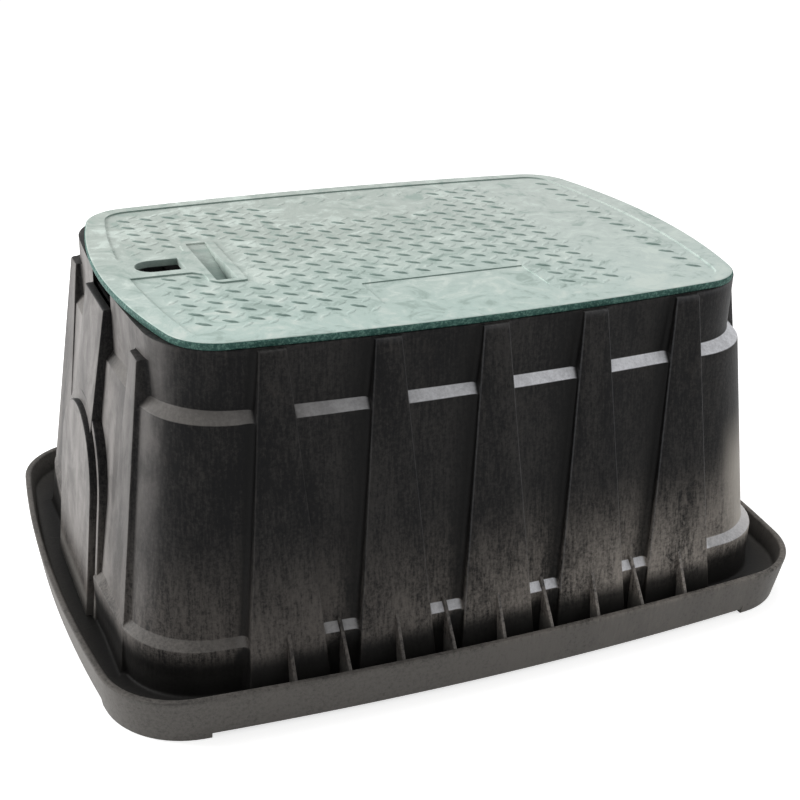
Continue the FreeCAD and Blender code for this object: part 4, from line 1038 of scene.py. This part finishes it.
def body_material():
    """Black foamed plastic: flow streaks, cloudy bloom, dust low down, painted highlight on the ledges and
    edges, painted shade in the angles and the trough, and painted light on the ends.
    """
    paint = paint_for("body_plastic")
    place = paint.place()
    facing = paint.stored("facing")
    across, sideways, high = (paint.part(place, axis) for axis in range(3))
    streaks = paint.noise(paint.stretched(place, (1.0, 1.0, 0.09)), 420.0, 3.0, 0.65)
    broad = paint.noise(paint.stretched(place, (1.0, 1.0, 0.3)), 24.0, 4.0, 0.6, 0.4, 3.0)
    grain = paint.noise(place, 330.0, 3.0, 0.8, 0.0, 5.0)
    cloud = paint.noise(place, 26.0, 5.0, 0.7, 1.2, 8.0)
    flow = streaks * 0.3 + broad * 0.35 + grain * 0.35
    colour = paint.mix(paint.ramp(flow, 0.43, 0.62), BODY_DARK, BODY_LIGHT)
    colour = paint.mix(paint.ramp(cloud, 0.55, 0.75) * paint.ramp(high, *BLOOM_HEIGHTS) * 0.45, colour, BLOOM)
    low = 1.0 - paint.ramp(high, *DUST_HEIGHTS)
    dust = paint.mix(paint.ramp(across, -0.15, 0.18), DUST_LEFT, DUST_RIGHT)
    colour = paint.mix(low * paint.ramp(flow, 0.36, 0.62), colour, dust)
    colour = paint.mix((1.0 - paint.ramp(high, *RIM_HEIGHTS)) * (0.1 + grain * 1.5), colour, RIM_DUST)
    tint = paint.stored("tint")
    # Painted shade where the tint is below 0
    colour = paint.mix(paint.ramp(0.0 - tint, 0.0, 1.0) * 0.92, colour, SHADE_BLACK)

    # Painted light on the left end's faces that turn to -X, most of all in its middle, and painted reflection
    # low down on the right end
    left = paint.ramp(0.0 - facing, 0.72, 0.97) * paint.ramp(0.0 - across, 0.2, 0.24)
    inward = 1.0 - paint.ramp(sideways * sideways, 0.0036, 0.018) * 0.55
    patches = 0.35 + paint.ramp(broad * 0.6 + cloud * 0.4, 0.38, 0.62) * 0.55
    colour = paint.mix(left * inward * paint.ramp(high, *END_LIGHT_HEIGHTS) * patches, colour, END_LIGHT)
    risen, gone = (paint.ramp(high, *heights) for heights in CORNER_REFLECTION_HEIGHTS)
    right = paint.ramp(facing, 0.1, 0.6) * risen * (1.0 - gone)
    colour = paint.mix(right * paint.ramp(across, 0.215, 0.24) * (0.5 + broad * 0.6), colour, CORNER_REFLECTION)

    # Painted highlight where the tint is above 0: on the ledges, the rib edges and the caps, bluish white
    # towards the right
    highlight_share = paint.ramp(tint, 0.0, 1.0) * (0.7 + paint.ramp(cloud * 0.5 + grain * 0.5, 0.38, 0.62) * 0.3)
    pale = paint.mix(paint.ramp(across, -0.24, 0.06), HIGHLIGHT_LEFT, HIGHLIGHT_RIGHT)
    colour = paint.mix(highlight_share, colour, pale)
    rough = 0.4 + streaks * 0.25
    return paint.finish(colour, rough, streaks * 0.5 + grain * 0.5, 0.0004, **{"Specular IOR Level": 0.12})


def lid_material():
    """Green foamed plastic under a pale painted sheen of light from above: fine marbled swirls on the faces,
    deep green on the sides.
    """
    paint = paint_for("lid_plastic")
    place = paint.place()
    across, along = (paint.part(place, axis) for axis in (0, 1))
    swirl = paint.noise(place, 34.0, 6.0, 0.65, 1.6, 2.0)
    cloud = paint.noise(place, 7.0, 3.0, 0.5, 0.8, 6.0)
    speckle = paint.noise(place, 420.0, 3.0, 0.75, 0.0, 9.0)
    # The faces' pale colour is painted sheen of light from above; it turns greener towards the front and
    # paler towards the right
    colour = paint.mix(1.0 - paint.ramp(along + cloud * 0.12, -0.14, 0.16), LID_BACK, LID_FRONT)
    colour = paint.mix(paint.ramp(across, -0.05, 0.22) * 0.5, colour, LID_RIGHT)
    colour = paint.mix(paint.ramp(swirl, 0.48, 0.66), colour, LID_SWIRL)
    colour = paint.mix(paint.ramp(0.0 - swirl, -0.48, -0.34) * 0.75, colour, LID_VEIN)
    colour = paint.mix(paint.ramp(speckle, 0.55, 0.8) * 0.4, colour, LID_FLECK)
    tint = paint.stored("tint")
    # Painted shade where the tint is above 0: the bars' front sides, the sunk edges' walls facing -Y and deep
    # in the slot
    colour = paint.mix(paint.ramp(tint, 0.0, 1.0) * (0.4 + cloud * 0.5 + speckle * 0.3), colour, LID_SHADE)
    # Deep green where the tint is below 0, on the rim's side and underneath, without the faces' painted sheen
    deep = paint.mix(paint.ramp(speckle, 0.44, 0.66), LID_DEEP, LID_DEEP_FLECK)
    colour = paint.mix(paint.ramp(speckle * 0.5 - tint - 0.25, 0.3, 0.5), colour, deep)
    rough = 0.6 + speckle * 0.2
    return paint.finish(colour, rough, speckle * 0.6 + swirl * 0.8, 0.0003, **{"Specular IOR Level": 0.35})


def floor_material():
    """White to the camera and to reflections, with the object's shadow; pale to other light."""
    paint = paint_for("floor_paper")
    glow = paint.mix(paint.seen(), rgb(0, 0, 0), rgb(*[FLOOR_GLOW] * 3))
    fixed = {"Emission Color": glow, "Emission Strength": 1.0, "Specular IOR Level": 0.0}
    return paint.finish(rgb(*[FLOOR_COLOUR] * 3), 0.9, **fixed)


body_plastic = body_material()
lid_plastic = lid_material()
for name, material in (("box_body", body_plastic), ("lid", lid_plastic)):
    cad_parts[name].data.materials.clear()
    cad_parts[name].data.materials.append(material)

# Body
side_webs = [web(index) for index in range(-4, 5)]
panel, block = arched_panel(), end_block()
body_parts = [moulding(), panel, mirrored(panel, 0), block, mirrored(block, 0)]
body_parts += side_webs + [mirrored(part, 1) for part in side_webs]
piece("body_moulding", body_parts, "box_body", body_plastic)

# Lid
places_x, places_y = (np.arange(count) - (count - 1) / 2 for count in TREAD_COUNT)
bars = tread(places_x, places_y, -BAR_ANGLE, BAR_HEIGHT, 1.0)
between_bars = tread(np.arange(-11, 12), np.arange(-7, 8), BAR_ANGLE, FAINT_HEIGHT, FAINT_SHADE)
piece("lid_plate", lid_parts() + bars + between_bars, "lid", lid_plastic)


def pale_floor():
    """A wide square under the object: white to the camera, with the object's shadow on it."""
    mesh = bpy.data.meshes.new("floor")
    corners = [(x * FLOOR_REACH, y * FLOOR_REACH, 0) for x, y in ((-1, -1), (1, -1), (1, 1), (-1, 1))]
    mesh.from_pydata(corners, [], [(0, 1, 2, 3)])
    floor = bpy.data.objects.new("floor", mesh)
    bpy.context.scene.collection.objects.link(floor)
    mesh.materials.append(floor_material())


pale_floor()

# Camera: turned to the azimuth and elevation about the target, then shifted and rolled in its own frame
lens = bpy.data.cameras.new("camera")
lens.sensor_width = SENSOR
lens.lens = FOCAL_PIXELS / IMAGE_PIXELS * SENSOR
lens.clip_end = 100
turn = Matrix.Rotation(VIEW_AZIMUTH, 4, "Z") @ Matrix.Rotation(math.pi / 2 - VIEW_ELEVATION, 4, "X")
shift = Matrix.Translation((VIEW_RIGHT, VIEW_UP, VIEW_DISTANCE)) @ Matrix.Rotation(VIEW_ROLL, 4, "Z")
camera = bpy.data.objects.new("camera", lens)
camera.matrix_world = Matrix.Translation((0, 0, VIEW_HEIGHT)) @ turn @ shift
bpy.context.scene.collection.objects.link(camera)
bpy.context.scene.camera = camera


def area_lamp(name, place, size, energy):
    """A square lamp at a place, turned to the middle of the object."""
    lamp = bpy.data.lights.new(name, "AREA")
    lamp.energy = energy
    lamp.size = size
    lamp_object = bpy.data.objects.new(name, lamp)
    lamp_object.location = place
    lamp_object.rotation_euler = (Vector((0, 0, 0.15)) - Vector(place)).to_track_quat("-Z", "Y").to_euler()
    bpy.context.scene.collection.objects.link(lamp_object)


# Light: the key from behind on the left, a weak fill in front and one lamp above
area_lamp("key", (-1.7, 0.9, 0.9), 1.0, KEY_ENERGY)
area_lamp("fill", (1.7, -1.2, 1.0), 1.0, FILL_ENERGY)
area_lamp("top", (0.2, 0.4, 2.2), 1.4, TOP_ENERGY)

# World: white to the camera and to reflections, a plain level to other light
world = bpy.data.worlds.new("studio")
bpy.context.scene.world = world
sky = Paint(world)
shade = sky.mix(sky.seen(), rgb(*[WORLD_LIGHT] * 3), rgb(1, 1, 1))
sky.node("ShaderNodeOutputWorld", None, [sky.node("ShaderNodeBackground", None, [shade, 1.0])])
bpy.context.scene.view_settings.view_transform = "Standard"
